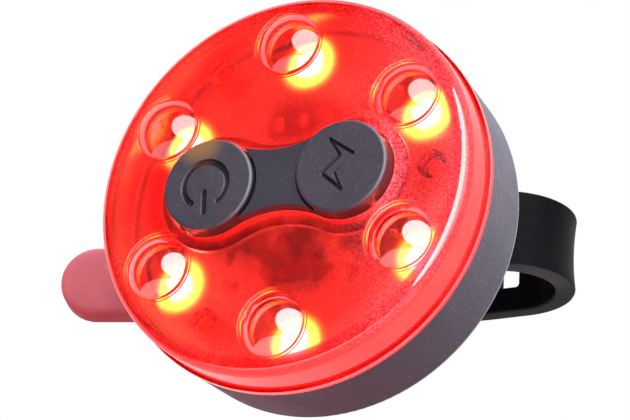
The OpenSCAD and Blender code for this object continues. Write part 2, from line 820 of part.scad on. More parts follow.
module strap() {
    color("#1f1e23") difference() {
        union() {
            translate([0, 0, -strap_w / 2]) linear_extrude(strap_w) strap_plan();
            at_tab() translate([-cut, -tab_tongue_t / 2, -tab_tongue_w / 2])
                cube([tab_tongue_l + cut, tab_tongue_t, tab_tongue_w]);
        }
        translate([pin_x, pin_y, -strap_w]) cylinder(r = pin_r + pin_gap, h = 2 * strap_w);
        for (i = [0 : slot_count - 1])
            translate([slot_x - i * slot_pitch - slot_l / 2, bend_y, -slot_w / 2])
                cube([slot_l, 2 * bend_r, slot_w]);
        translate([hook_x, hook_y, -slot_w / 2]) rotate([0, 0, -hook_lean])
            translate([-hook_slot_l / 2, -2 * strap_t, 0]) cube([hook_slot_l, 4 * strap_t, slot_w]);
    }
}

// Frame at the shoulder where the pull tab starts, with x along the strap
module at_tab() {
    translate([curve_end_x, curve_end_y, 0]) rotate([0, 0, 180 + run_angle])
        translate([run_to_tab, 0, 0]) children();
}

// Coloured grip moulded over the end of the strap: a flat bar with a round end
module pull_tab() {
    side_w = tab_w - 2 * tab_edge_r;
    color("#c56974") at_tab() difference() {
        union() {
            translate([0, tab_t / 2, 0]) rotate([90, 0, 0]) linear_extrude(tab_t) tab_outline(tab_edge_r);
            translate([0, tab_t / 2 - tab_edge_r, 0]) rotate([90, 0, 0])
                linear_extrude(tab_t - 2 * tab_edge_r) tab_outline(0);
            for (s = [-1, 1]) for (e = [-1, 1])
                translate([0, e * (tab_t / 2 - tab_edge_r), s * side_w / 2])
                    rotate([0, 90, 0]) cylinder(r = tab_edge_r, h = tab_l - tab_w / 2, $fn = 48);
            for (e = [-1, 1])
                translate([tab_l - tab_w / 2, e * (tab_t / 2 - tab_edge_r), 0]) rotate([90, 0, 0])
                    rotate_extrude() translate([side_w / 2, 0]) circle(r = tab_edge_r, $fn = 48);
        }
        translate([-cut, -tab_tongue_t / 2 - tab_fit, -tab_tongue_w / 2 - tab_fit])
            cube([tab_tongue_l + tab_fit + cut, tab_tongue_t + 2 * tab_fit,
                tab_tongue_w + 2 * tab_fit]);
    }
}

module tab_outline(inset) {
    end_r = tab_w / 2 - inset;
    translate([0, -end_r]) square([tab_l - tab_w / 2, 2 * end_r]);
    translate([tab_l - tab_w / 2, 0]) circle(r = end_r);
}

lens_cover();
case_shell();
sealing_ring();
button_pad();
power_button();
power_switch_stem();
power_switch();
mode_button();
mode_switch_stem();
mode_switch();
circuit_board();
led_1();
led_2();
led_3();
led_4();
led_5();
led_6();
control_chip();
small_components();
charging_socket();
socket_tongue();
battery_connector();
battery_leads();
battery_cell();
battery_foam_pad();
port_cover();
case_screws();
mount_bracket();
saddle_pad();
bracket_screws();
anchor_pin();
strap();
pull_tab();
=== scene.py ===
# %% [markdown]
# # A rechargeable bike rear light
#
# A round red lens stands on a grey case. Six lamps shine through six clear bubbles, two rubber
# buttons sit on a rubber bridge in the middle, and a rubber strap with a coloured pull tab holds the
# light on a seat post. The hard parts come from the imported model, which is loaded first and never
# changed. They only get their finishes here. The soft parts are modelled again with rounded edges.

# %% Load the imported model
import math

import bmesh
import bpy
from bmesh.types import BMEdge, BMFace, BMVert
from mathutils import Matrix, Vector


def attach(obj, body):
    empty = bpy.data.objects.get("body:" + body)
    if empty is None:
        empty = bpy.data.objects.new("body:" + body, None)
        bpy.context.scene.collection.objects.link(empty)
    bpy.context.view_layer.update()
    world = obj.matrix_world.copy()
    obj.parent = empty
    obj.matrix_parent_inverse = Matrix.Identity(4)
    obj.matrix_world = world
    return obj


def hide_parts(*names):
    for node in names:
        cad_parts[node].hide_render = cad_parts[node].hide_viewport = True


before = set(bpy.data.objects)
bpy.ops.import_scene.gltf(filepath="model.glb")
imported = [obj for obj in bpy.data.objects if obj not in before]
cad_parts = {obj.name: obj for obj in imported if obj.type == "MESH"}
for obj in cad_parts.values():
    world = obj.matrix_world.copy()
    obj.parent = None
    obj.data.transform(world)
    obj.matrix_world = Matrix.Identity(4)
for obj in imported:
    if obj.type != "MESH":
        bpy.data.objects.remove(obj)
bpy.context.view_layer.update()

MM = 0.001

# %% [markdown]
# ## Small helpers for shader nodes
#
# Every finish below is a small net of nodes. One helper adds a node and fills its inputs with
# numbers or links, and the others are built on it: they do arithmetic, fade a value in and out, find
# a place on the piece, or mix two colours. Most find their net through the values that they are
# given, so a finish reads like a recipe. Blender counts in metres and a maker in millimetres, so one
# helper turns the second into the first.

# %% Adding a node and doing arithmetic
def mm(*values):
    """Millimetres in metres."""
    return tuple(value * MM for value in values)


def add(tree, kind, inputs=(), **settings):
    """Adds a node, applies its settings, and fills or links the inputs that are named."""
    made = tree.nodes.new(kind)
    for key, value in settings.items():
        setattr(made, key, value)
    for key, value in dict(inputs).items():
        if isinstance(value, bpy.types.NodeSocket):
            tree.links.new(value, made.inputs[key])
        else:
            made.inputs[key].default_value = value
    return made


def calc(operation, first, *others, clamp=False):
    """One number out of one, two or more, by Math nodes of one operation in a row."""
    tree = next(v for v in (first, *others) if isinstance(v, bpy.types.NodeSocket)).id_data
    for other in others or (0.0,):
        inputs = {0: first, 1: other}
        first = add(tree, "ShaderNodeMath", inputs, operation=operation, use_clamp=clamp).outputs[0]
    return first


def times(*values):
    """The product of the values."""
    return calc("MULTIPLY", *values)


def span(value, low, high, start=0.0, end=1.0, kind="LINEAR"):
    """Maps a value from low..high to start..end, and holds it at the ends."""
    inputs = {"Value": value, "From Min": low, "From Max": high, "To Min": start, "To Max": end}
    return add(value.id_data, "ShaderNodeMapRange", inputs, interpolation_type=kind).outputs["Result"]


def fade(value, *limits):
    """The same with a soft start and end."""
    return span(value, *limits, kind="SMOOTHSTEP")


def between(value, band, how=span):
    """A band that comes in over the first two of four places and goes over the last two."""
    return times(how(value, *band[:2]), how(value, *band[2:], 1.0, 0.0))


print("one millimetre in Blender:", mm(1.0)[0])

# %% Finding a place on the piece
def where(tree):
    """The piece's own coordinates, in metres, the same for the whole light."""
    return add(tree, "ShaderNodeTexCoord").outputs["Object"]


def axes(vector):
    """The three parts of a vector, by name."""
    return add(vector.id_data, "ShaderNodeSeparateXYZ", {"Vector": vector}).outputs


def facing(tree):
    """The way that the surface faces, by axis."""
    return axes(add(tree, "ShaderNodeNewGeometry").outputs["Normal"])


def hypot(first, second):
    """Length of the long side of a right angle."""
    squares = [calc("POWER", side, 2.0) for side in (first, second)]
    return calc("SQRT", calc("ADD", *squares))


def from_point(spot, x, z):
    """Distance in the plane of the face from a point that is mirrored to all four quarters."""
    aside = calc("SUBTRACT", calc("ABSOLUTE", spot["X"]), x)
    above = calc("SUBTRACT", calc("ABSOLUTE", spot["Z"]), z)
    return hypot(aside, above)


def noise(tree, waves, place=None, **more):
    """Soft noise with so many waves in a metre."""
    inputs = {"Vector": place or where(tree), "Scale": waves, **more}
    return add(tree, "ShaderNodeTexNoise", inputs).outputs["Fac"]


print("places are measured in the frame of the whole light")

# %% Colours, groups and materials
def rgba(colour):
    """A plain colour with its alpha, or a linked one as it is."""
    return colour if isinstance(colour, bpy.types.NodeSocket) else (*colour, 1.0)


def tint(share, first, second):
    """Colour that goes from first to second as share goes from 0 to 1."""
    inputs = {"Factor": share, 6: rgba(first), 7: rgba(second)}
    return add(share.id_data, "ShaderNodeMix", inputs, data_type="RGBA").outputs[2]


def scaled(colour, share):
    """A colour, linked or plain, times a number that changes over the surface."""
    inputs = {0: colour, "Scale": share}
    return add(share.id_data, "ShaderNodeVectorMath", inputs, operation="SCALE").outputs["Vector"]


def effect(name, inputs, outputs):
    """A shader node group with named number inputs and outputs, and its two end nodes."""
    tree = bpy.data.node_groups.new(name, "ShaderNodeTree")
    for title, value in inputs.items():
        socket = tree.interface.new_socket(title, in_out="INPUT", socket_type="NodeSocketFloat")
        socket.default_value = value
    for title in outputs:
        tree.interface.new_socket(title, in_out="OUTPUT", socket_type="NodeSocketFloat")
    return tree, tree.nodes.new("NodeGroupInput").outputs, tree.nodes.new("NodeGroupOutput").inputs


def finish_named(name, **values):
    """A new material and its main shader, with plain values set on the shader's own sockets."""
    made = bpy.data.materials.new(name)
    made.use_nodes = True
    shader = made.node_tree.nodes["Principled BSDF"]
    for key, value in values.items():
        shader.inputs[key.replace("_", " ")].default_value = value
    return made, made.node_tree, shader


def use(tree, group, **values):
    """Places a node group in a material with its own values."""
    made = add(tree, "ShaderNodeGroup", node_tree=group)
    for key, value in values.items():
        made.inputs[key].default_value = value
    return made.outputs


def feed(shader, title, value):
    """Links a value to one of the main shader's own inputs."""
    shader.id_data.links.new(value, shader.inputs[title])


BUMP_HEIGHT = 0.1 * MM


def bump(shader, height, strength):
    """Feeds a height into the shader's normal."""
    inputs = {"Height": height, "Strength": strength, "Distance": BUMP_HEIGHT}
    feed(shader, "Normal", add(shader.id_data, "ShaderNodeBump", inputs).outputs["Normal"])


print("a full bump stands", BUMP_HEIGHT, "m high")

# %% [markdown]
# ## Effects that several finishes share
#
# Moulded plastic and rubber are never quite even. The spark-eroded mould leaves a fine grain, pale
# flecks catch the light, and hands leave faint smudges. These are built once, as node groups, and
# each finish uses them with its own size and strength.

# %% Grain of a mould
GRAIN_WAVES = 2.2 / MM
FLECK_WAVES = 3.4 / MM
CLOUD_WAVES = 0.12 / MM
FLECK_FROM = (0.56, 0.70)
CLOUD_FROM = (0.3, 0.7)
grain_tree, given, out = effect("mould_grain", {"Size": 1.0}, ["Height", "Fleck", "Cloud"])
fine = noise(grain_tree, calc("DIVIDE", GRAIN_WAVES, given["Size"]), Detail=3.0, Roughness=0.6)
fleck = noise(grain_tree, calc("DIVIDE", FLECK_WAVES, given["Size"]), Detail=1.0, Roughness=0.5)
cloud = noise(grain_tree, CLOUD_WAVES, Detail=3.0, Roughness=0.55)
for title, value in (("Height", fine), ("Fleck", span(fleck, *FLECK_FROM)),
                     ("Cloud", span(cloud, *CLOUD_FROM))):
    grain_tree.links.new(value, out[title])
print("effect:", grain_tree.name)

# %% Smudges from handling
SMUDGE_WAVES = 0.25 / MM
SMUDGE_STRETCH = (1.0, 1.0, 2.4)
SMUDGE_TURN = (0.3, 0.5, 0.2)
SMUDGE_FROM = (0.35, 0.75)
smudge_tree, given, out = effect("smudges", {"Size": 1.0}, ["Smudge"])
stretch = {"Vector": where(smudge_tree), "Scale": SMUDGE_STRETCH, "Rotation": SMUDGE_TURN}
stretched = add(smudge_tree, "ShaderNodeMapping", stretch).outputs["Vector"]
wiped = noise(smudge_tree, calc("DIVIDE", SMUDGE_WAVES, given["Size"]), stretched,
              Detail=5.0, Roughness=0.62, Distortion=0.6)
smudge_tree.links.new(fade(wiped, *SMUDGE_FROM), out["Smudge"])
print("effect:", smudge_tree.name)

# %% [markdown]
# ## How far a spot is from the nearest lamp
#
# The lamps stand on one ring, sixty degrees apart, with one at the top. Folding the angle around the
# ring onto one sixty-degree slice turns six distances into one. The board and the lens both use it:
# the board gets a painted glow around each lamp, and the lens is clearer and glossier where a bubble
# stands.

# %% Distance to the nearest lamp
LAMP_RING = 18.7 * MM
LAMP_COUNT = 6
SLICE = math.tau / LAMP_COUNT
STEEPNESS = 3.0
glow_tree, given, out = effect("lamp_glow", {"Reach": 2.0 * MM}, ["Glow", "Distance"])
spot = axes(where(glow_tree))
angle = calc("ARCTAN2", spot["X"], spot["Z"])
turns = times(angle, 1 / SLICE)
slice_angle = times(calc("SUBTRACT", turns, calc("ROUND", turns)), SLICE)
reach = hypot(spot["X"], spot["Z"])
along = calc("SUBTRACT", times(reach, calc("COSINE", slice_angle)), LAMP_RING)
across = times(reach, calc("SINE", slice_angle))
gap = hypot(along, across)
share = calc("DIVIDE", gap, given["Reach"])
steep = times(calc("POWER", share, STEEPNESS), -1.0)
glow_tree.links.new(calc("POWER", math.e, steep), out["Glow"])
glow_tree.links.new(gap, out["Distance"])
print("effect:", glow_tree.name)

# %% [markdown]
# ## The red lens
#
# The lens is clear polycarbonate dyed red, with a hard gloss. Light crosses two surfaces on its way
# through, so each one only carries part of the colour. A strong lamp still gets through yellow and
# white, and everything dim behind the lens turns a deep red, as in a real light. The finish is built
# in steps: where each part of the lens is, how deep the dye looks there, with painted shade beside
# the keys, how hazy and glossy it is, and last a painted glow that stands in for the light of the
# lamps that the plastic itself carries to its edges.

# %% Where the parts of the lens are
LENS_R = 25.0 * MM
BUBBLE_R = 4.2 * MM
SIDE_WALL = (0.90 * LENS_R, 0.925 * LENS_R)
EDGE_BAND = (0.78 * LENS_R, 0.95 * LENS_R)
BUBBLE_RIM = (0.9 * BUBBLE_R, 1.05 * BUBBLE_R)
lens_finish, tree, shader = finish_named(
    "clear_red_lens", IOR=1.58, Transmission_Weight=0.96, Specular_IOR_Level=0.1,
    Coat_IOR=2.15, Coat_Roughness=0.03, Emission_Strength=1.0)
grain = use(tree, grain_tree, Size=6.0)
spot = axes(where(tree))
reach = hypot(spot["X"], spot["Z"])
side_wall = fade(reach, *SIDE_WALL)
edge_band = fade(reach, *EDGE_BAND)
from_lamp = use(tree, glow_tree)["Distance"]
outside_bubble = fade(from_lamp, *BUBBLE_RIM)
print("lens:", LENS_R, "m, bubble:", BUBBLE_R, "m")

# %% Red dye, and painted shade beside the keys
LENS_TINT = (0.92, 0.066, 0.050)
LENS_TINT_DEEP = (0.84, 0.046, 0.042)
LENS_PAINTED_SHADE = (0.82, 0.012, 0.012)
LENS_SIDE_TINT = (0.78, 0.0006, 0.0015)
PAINTED_SHADE_X = mm(-6.0, -13.0)
PAINTED_SHADE_Z = mm(6.5, 3.0)
PAINTED_SHADE_REACH = mm(20.5, 17.0)
# Painted shade: beside the keys on the left, the face is tinted a deeper red and its glow is dimmed.
beside_key = fade(calc("ABSOLUTE", spot["Z"]), *PAINTED_SHADE_Z)
painted_shade_beside_keys = times(fade(spot["X"], *PAINTED_SHADE_X), fade(reach, *PAINTED_SHADE_REACH), beside_key)
face_tint = tint(grain["Cloud"], LENS_TINT, LENS_TINT_DEEP)
face_tint = tint(painted_shade_beside_keys, face_tint, LENS_PAINTED_SHADE)
feed(shader, "Base Color", tint(side_wall, face_tint, LENS_SIDE_TINT))
print("dye:", LENS_TINT, "to", LENS_PAINTED_SHADE)

# %% Haze and gloss
LENS_HAZE = (0.06, 0.12)
LENS_SMUDGED = 0.06
GLINT_BAND = mm(23.8, 23.95, 24.3, 24.45)
FACE_GLOSS = 0.11
FACE_GLOSS_UP = (*mm(-6.0, 10.0), 1.0, 0.1)
FACE_GLOSS_OUT = (*mm(23.6, 23.8), 1.0, 0.14)
BUBBLE_GLOSS_UP = (*mm(0.0, 6.0), 1.0, 0.58)
haze = span(outside_bubble, 0.0, 1.0, *LENS_HAZE)
smudged = times(use(tree, smudge_tree, Size=1.5)["Smudge"], LENS_SMUDGED)
feed(shader, "Roughness", calc("ADD", haze, smudged))
glint = between(reach, GLINT_BAND)
on_face = times(FACE_GLOSS, fade(spot["Z"], *FACE_GLOSS_UP), span(reach, *FACE_GLOSS_OUT))
on_bubble = times(span(outside_bubble, 0.0, 1.0, 1.0, 0.0), span(spot["Z"], *BUBBLE_GLOSS_UP))
feed(shader, "Coat Weight", calc("MAXIMUM", on_face, glint, on_bubble))
print("haze:", LENS_HAZE, "gloss of the face:", FACE_GLOSS)

# %% [markdown]
# ### Painted glow for the light that the lens itself carries
#
# Plastic that is lit from behind glows a little all over, most along its cut edges: the wall of the
# opening round the buttons, the rounded rim, and the lip over the joint. Here that glow is painted
# into the lens as emission by place, with painted shade and a painted highlight line at the lip. The
# outline of the opening is two circles joined by two arcs, so the distance from it takes the nearer
# of two measures.

# %% Distance from the opening
OPENING_KEY_R = 6.38 * MM
OPENING_KEY_X = 8.95 * MM
OPENING_SIDE_R = 12.7 * MM
OPENING_SIDE_Z = 16.85 * MM
OPENING_WAIST_X = 6.2 * MM
WALL_BRIGHT = (*mm(0.05, 0.5), 1.0, 0.0)
WALL_SOFT = (*mm(0.3, 2.0), 0.45, 0.0)
FLANGE_GLOW = (*mm(1.0, 2.3), 0.45, 0.0)
FLANGE_GLOW_X = mm(10.0, 14.0)
past_waist = calc("GREATER_THAN", calc("ABSOLUTE", spot["X"]), OPENING_WAIST_X)
from_key = calc("SUBTRACT", from_point(spot, OPENING_KEY_X, 0.0), OPENING_KEY_R)
from_side = calc("SUBTRACT", OPENING_SIDE_R, from_point(spot, 0.0, OPENING_SIDE_Z))
from_opening = calc("MINIMUM", from_key, calc("ADD", from_side, past_waist))
# The wall of the opening, and the face over the flange to its right, get a painted glow.
opening_wall = calc("MAXIMUM", fade(from_opening, *WALL_BRIGHT), fade(from_opening, *WALL_SOFT))
glow_over_flange = times(fade(spot["X"], *FLANGE_GLOW_X), fade(from_opening, *FLANGE_GLOW))
print("opening: circles of", OPENING_KEY_R, "m and arcs of", OPENING_SIDE_R, "m")

# %% Painted glow of the face
SPECKLE_WAVES = 3.6 / MM
SPECKLE_FROM = (0.35, 0.65)
FACE_GLOW = (0.13, 0.29)
CLOUD_GLOW = (1.5, 0.4)
GLOW_IN_PAINTED_SHADE = (1.0, 0.35)
DIM_Z = mm(-3.0, -6.5)
DIM_REACH = mm(16.0, 11.0)
PATCH_WAVES = 0.32 / MM
PATCH_DIM = (0.42, 0.58, 0.85, 0.2)
EDGE_GLOW = 0.20
BUBBLE_GLOW = (0.06, 1.0)
WALL_GLOW = 0.5
# Painted glow of the face, speckled and cloudy, with painted shade in patches in the lower middle.
speckled = span(noise(tree, SPECKLE_WAVES), *SPECKLE_FROM)
painted_dim_patches = times(fade(spot["Z"], *DIM_Z), fade(reach, *DIM_REACH),
                 span(noise(tree, PATCH_WAVES), *PATCH_DIM))
face = times(span(speckled, 0.0, 1.0, *FACE_GLOW),
             calc("SUBTRACT", 1.0, painted_dim_patches),
             span(grain["Cloud"], 0.0, 1.0, *CLOUD_GLOW),
             span(painted_shade_beside_keys, 0.0, 1.0, *GLOW_IN_PAINTED_SHADE))
glowing = calc("ADD", face, times(edge_band, EDGE_GLOW))
glowing = times(glowing, span(outside_bubble, 0.0, 1.0, *BUBBLE_GLOW))
glowing = calc("ADD", glowing, times(opening_wall, WALL_GLOW), glow_over_flange)
print("glow of the face:", FACE_GLOW)

# %% Painted highlight and shade on the lip over the joint
LIP_Y = -14.55
LIP_BAND = mm(LIP_Y - 0.25, LIP_Y - 0.1, LIP_Y + 0.1, LIP_Y + 0.25)
LIP_SHADE = (*mm(LIP_Y - 0.75, LIP_Y - 0.45), 1.0, 0.25)
SKIRT_END = mm(-10.0, -9.0)
INSIDE_RIM = mm(24.6, 24.4)
LIP_GLOW = 0.75
# A thin painted highlight line along the lip, and painted shade where the lip meets the case.
lip_highlight_line = between(spot["Y"], LIP_BAND)
over_lip = times(span(spot["Y"], *SKIRT_END, 1.0, 0.0), fade(spot["Y"], *LIP_SHADE))
lip_shade = calc("MAXIMUM", over_lip, span(reach, *INSIDE_RIM))
glowing = calc("ADD", times(glowing, lip_shade), times(lip_highlight_line, LIP_GLOW))
print("lip at:", LIP_Y, "mm")

# %% Colour of the painted glow, with a painted pink reflection
LENS_GLOW = (1.0, 0.003, 0.004)
LENS_GLOW_WARM = (1.0, 0.04, 0.02)
LENS_PINK_SHEEN = (1.0, 0.19, 0.24)
LENS_RIM_GLOW = (1.0, 0.11, 0.05)
PINK_SHEEN_ACROSS = (*mm(6.0, 21.0), 0.08, 1.9)
PINK_SHEEN_FORWARDS = (*mm(-19.3, -20.2), 0.12, 1.0)
PINK_SHEEN_EDGE = 0.2
RIM_GLOW_BAND = tuple(share * LENS_R for share in (0.80, 0.88, 0.93, 0.955))
RIM_GLOW_X = mm(-6.0, -14.0)
# Painted reflection: a pink sheen on the right of the face, which also takes the lip's painted highlight
# line. A warmer painted glow lies near the left rim.
painted_pink_sheen = calc("ADD", fade(spot["X"], *PINK_SHEEN_ACROSS), times(edge_band, PINK_SHEEN_EDGE))
painted_pink_sheen = times(painted_pink_sheen, speckled, fade(spot["Y"], *PINK_SHEEN_FORWARDS))
painted_pink_sheen = calc("MAXIMUM", painted_pink_sheen, lip_highlight_line, clamp=True)
rim_part = times(between(reach, RIM_GLOW_BAND, fade), fade(spot["X"], *RIM_GLOW_X))
glow_red = tint(grain["Cloud"], LENS_GLOW_WARM, LENS_GLOW)
glow_red = tint(rim_part, glow_red, LENS_RIM_GLOW)
feed(shader, "Emission Color", scaled(tint(painted_pink_sheen, glow_red, LENS_PINK_SHEEN), glowing))
bump(shader, grain["Height"], strength=0.05)
print("finish:", lens_finish.name)

# %% [markdown]
# ## The grey case
#
# The case is moulded with a fine grain that scatters the light into tiny pale points. It is matte,
# with slightly shinier places where it has been handled, and a pale highlight is painted along its
# back edge.

# %% Case finish
CASE_GREY = (0.19, 0.18, 0.225)
CASE_GREY_DEEP = tuple(0.88 * c for c in CASE_GREY)
CASE_FLECK = (0.46, 0.45, 0.49)
CASE_FLECK_SHARE = 0.24
CASE_EDGE_HIGHLIGHT = (0.60, 0.59, 0.63)
CASE_HIGHLIGHT_BAND = mm(-4.05, -3.9, -3.5, -3.3)
CASE_ROUGHNESS = (0.62, 0.50)
case_finish, tree, shader = finish_named("grained_grey_case", Specular_IOR_Level=0.05)
grain = use(tree, grain_tree, Size=1.1)
smudge = use(tree, smudge_tree, Size=2.0)["Smudge"]
grey = tint(grain["Cloud"], CASE_GREY, CASE_GREY_DEEP)
grey = tint(times(grain["Fleck"], CASE_FLECK_SHARE), grey, CASE_FLECK)
# Painted highlight along the back edge of the case.
back_edge_highlight = between(axes(where(tree))["Y"], CASE_HIGHLIGHT_BAND)
feed(shader, "Base Color", tint(back_edge_highlight, grey, CASE_EDGE_HIGHLIGHT))
feed(shader, "Roughness", span(smudge, 0.0, 1.0, *CASE_ROUGHNESS))
bump(shader, grain["Height"], strength=0.55)
print("finish:", case_finish.name)

# %% [markdown]
# ## Plain moulded and painted finishes
#
# The other finishes differ in colour, shine and grain only, so one function makes them all. It always
# adds a grain, a soft change of colour and uneven shine, because nothing moulded is perfectly even.
# A finish may pass a function of its own that works on the colour before it reaches the shader.

# %% One function for moulded finishes
DEEP_SHARE = 0.8
SHINY_SHARE = 0.8
PALE_GAIN, PALE_LIFT = 1.6, 0.02


def moulded(name, colour, roughness, grain_size, grain_depth, fleck=0.15, metallic=0.0, over=None,
            **values):
    """A finish with its own colour and shine over the shared grain and smudges."""
    made, tree, shader = finish_named(name, Metallic=metallic, **values)
    grain = use(tree, grain_tree, Size=grain_size)
    smudge = use(tree, smudge_tree, Size=1.2)["Smudge"]
    plain = tint(grain["Cloud"], colour, tuple(DEEP_SHARE * c for c in colour))
    pale = tuple(min(1.0, PALE_GAIN * c + PALE_LIFT) for c in colour)
    coloured = tint(times(grain["Fleck"], fleck), plain, pale)
    if over:
        coloured = over(tree, coloured)
    feed(shader, "Base Color", coloured)
    feed(shader, "Roughness", span(smudge, 0.0, 1.0, roughness, SHINY_SHARE * roughness))
    bump(shader, grain["Height"], grain_depth)
    return made


print("handled places keep", SHINY_SHARE, "of the roughness")

# %% [markdown]
# ### The keys
#
# A sign that is moulded into dark rubber is read by its shadow and by the one wall that catches the
# light. Both are painted into the key's colour here: shade by where the surface lies below the top of
# the key, and a highlight by the way it faces. The power key also stands close to a lamp, whose warm
# light is painted onto its edge.

# %% Key finish
KEY_X = 8.95
KEY_TOP = -22.54


def below_top(*depths):
    """Places along Y, in metres, so many millimetres below the top of a key."""
    return mm(*(KEY_TOP + depth for depth in depths))


KEY_RUBBER = (0.052, 0.052, 0.076)
SIGN_PAINTED_SHADE = (0.012, 0.011, 0.015)
SIGN_FIELD = mm(5.0, 5.2)
SIGN_SHADE_Y = below_top(0.06, 0.34)
KEY_SIDE_SHADE = (*below_top(0.3, 0.7), 0.0, 0.9)


def sunk_sign(tree, colour):
    """Paints shade into a key's sunk sign and onto the side that stands in the opening."""
    spot = axes(where(tree))
    from_middle = from_point(spot, KEY_X * MM, 0.0)
    groove = times(span(from_middle, *SIGN_FIELD, 1.0, 0.0), span(spot["Y"], *SIGN_SHADE_Y))
    side = span(spot["Y"], *KEY_SIDE_SHADE)
    return tint(calc("MAXIMUM", groove, side), colour, SIGN_PAINTED_SHADE)


print("top of the keys:", KEY_TOP, "mm")

# %% Painted light on the edges of the keys
KEY_LIT = (0.22, 0.22, 0.26)
KEY_LIT_SHARE = 0.8
SIGN_WALL_Y = below_top(0.02, 0.06)
KEY_RIM = mm(5.6, 5.75)
KEY_RIM_Y = below_top(0.16, 0.3)
TOWARDS_LIGHT = (0.15, 0.6)
KEY_SPILL = (0.30, 0.16, 0.04)
SPILL_AT = mm(-10.3, 6.0)
SPILL_SHARE = (*mm(4.2, 1.0), 0.0, 0.75)


def lit_edges(tree, colour):
    """Paints a highlight on the walls of the sign and the rim of the key where they face the softbox."""
    spot = axes(where(tree))
    from_middle = from_point(spot, KEY_X * MM, 0.0)
    wall = times(span(from_middle, *SIGN_FIELD, 1.0, 0.0), span(spot["Y"], *SIGN_WALL_Y))
    rim = times(span(from_middle, *KEY_RIM), span(spot["Y"], *KEY_RIM_Y, 1.0, 0.0))
    lit = times(calc("MAXIMUM", wall, rim), span(facing(tree)["X"], *TOWARDS_LIGHT), KEY_LIT_SHARE)
    return tint(lit, colour, KEY_LIT)


def key_shade_and_light(tree, colour):
    """Painted shade and highlights of a key, with the nearest lamp's warm light painted on last."""
    shaded_and_lit = lit_edges(tree, sunk_sign(tree, colour))
    spot = axes(where(tree))
    away = hypot(calc("SUBTRACT", spot["X"], SPILL_AT[0]), calc("SUBTRACT", spot["Z"], SPILL_AT[1]))
    return tint(fade(away, *SPILL_SHARE), shaded_and_lit, KEY_SPILL)


key_finish = moulded("key_silicone", KEY_RUBBER, 0.5, 1.1, 0.5, fleck=0.35, over=key_shade_and_light,
                     Specular_IOR_Level=0.4)
print("finish:", key_finish.name)

# %% Strap finish, with painted light on its edges
STRAP_RUBBER = (0.004, 0.0032, 0.005)
STRAP_EDGE_LIGHT = (0.085, 0.105, 0.125)
STRAP_EDGE_Z = mm(4.8, 5.0)
STRAP_NEAR = (*mm(7.0, 14.0), 1.0, 0.12)


def lit_strap_edges(tree, colour):
    """Paints the two long edges of the strap paler as painted light, most in its near run."""
    spot = axes(where(tree))
    at_edge = span(calc("ABSOLUTE", spot["Z"]), *STRAP_EDGE_Z)
    near_side = fade(spot["Y"], *STRAP_NEAR)
    return tint(times(at_edge, near_side), colour, STRAP_EDGE_LIGHT)


strap_finish = moulded("strap_silicone", STRAP_RUBBER, 0.5, 2.0, 0.2, fleck=0.1, over=lit_strap_edges,
                       Specular_IOR_Level=0.05)
print("finish:", strap_finish.name)

# %% Finishes of the other parts
# Each has its name, colour, roughness, and the size and depth of its grain.
button_finish = moulded("button_silicone", (0.042, 0.043, 0.063), 0.5, 1.2, 0.35, fleck=0.25,
                        Specular_IOR_Level=0.35)
tab_finish = moulded("tab_silicone", (0.62, 0.175, 0.215), 0.6, 2.0, 0.2, fleck=0.08,
                     Specular_IOR_Level=0.1, Subsurface_Weight=0.15,
                     Subsurface_Radius=(0.004, 0.0015, 0.001), Subsurface_Scale=0.5)
bracket_finish = moulded("bracket_nylon", (0.03, 0.03, 0.034), 0.55, 1.4, 0.5)
pad_finish = moulded("saddle_rubber", (0.03, 0.03, 0.033), 0.7, 1.5, 0.4)
seal_finish = moulded("seal_rubber", (0.03, 0.03, 0.033), 0.6, 1.0, 0.2)
cover_finish = moulded("port_cover_rubber", (0.05, 0.048, 0.055), 0.6, 1.4, 0.3)
foam_finish = moulded("cell_foam", (0.09, 0.09, 0.1), 0.9, 3.0, 1.0, fleck=0.5)
black_finish = moulded("black_plastic", (0.02, 0.02, 0.022), 0.45, 1.2, 0.3)
steel_finish = moulded("turned_steel", (0.6, 0.6, 0.62), 0.3, 1.0, 0.1, metallic=1.0)
foil_finish = moulded("cell_foil", (0.62, 0.62, 0.65), 0.38, 5.0, 0.3, metallic=1.0)
connector_finish = moulded("connector_nylon", (0.8, 0.77, 0.66), 0.45, 1.0, 0.15)
lead_finish = moulded("lead_insulation", (0.5, 0.02, 0.02), 0.4, 1.0, 0.1)
ceramic_finish = moulded("resistor_ceramic", (0.35, 0.24, 0.15), 0.5, 0.8, 0.2)
print("finishes:", len(bpy.data.materials))

# %% [markdown]
# ## Board and lamps
#
# The board is pale under the lens so that it throws the light forwards. Each lamp has a white
# package with a yellow phosphor under a clear dome, and it is switched on. What it throws on the
# board round it is painted as a glow in the board's own finish, yellow at its fringe. Neither lights
# its neighbours by scattered rays, because so small and strong a source would only add noise.

# %% Board finish
BOARD_WHITE = (0.34, 0.30, 0.29)
BOARD_SHADE = (0.10, 0.085, 0.08)
BOARD_DARK_PATCHES = (0.035, 0.02, 0.02)
BLOCK_WAVES = 0.24 / MM
BLOCK_FROM = (0.3, 0.75)
BLOCK_REACH = mm(15.5, 13.0)
LAMP_CORE = (0.85, 0.97, 1.0)
LAMP_FRINGE = (0.9, 0.8, 0.1)
LAMP_FRINGE_FROM = mm(1.7, 2.1)
LAMP_STRENGTH = 620.0


def not_scattered(tree):
    """1 for every ray but a scattered one."""
    path = add(tree, "ShaderNodeLightPath").outputs
    return calc("SUBTRACT", 1.0, path["Is Diffuse Ray"])


board_finish, tree, shader = finish_named("white_board", Roughness=0.45,
                                          Emission_Strength=LAMP_STRENGTH)
grain = use(tree, grain_tree, Size=4.0)
spot = axes(where(tree))
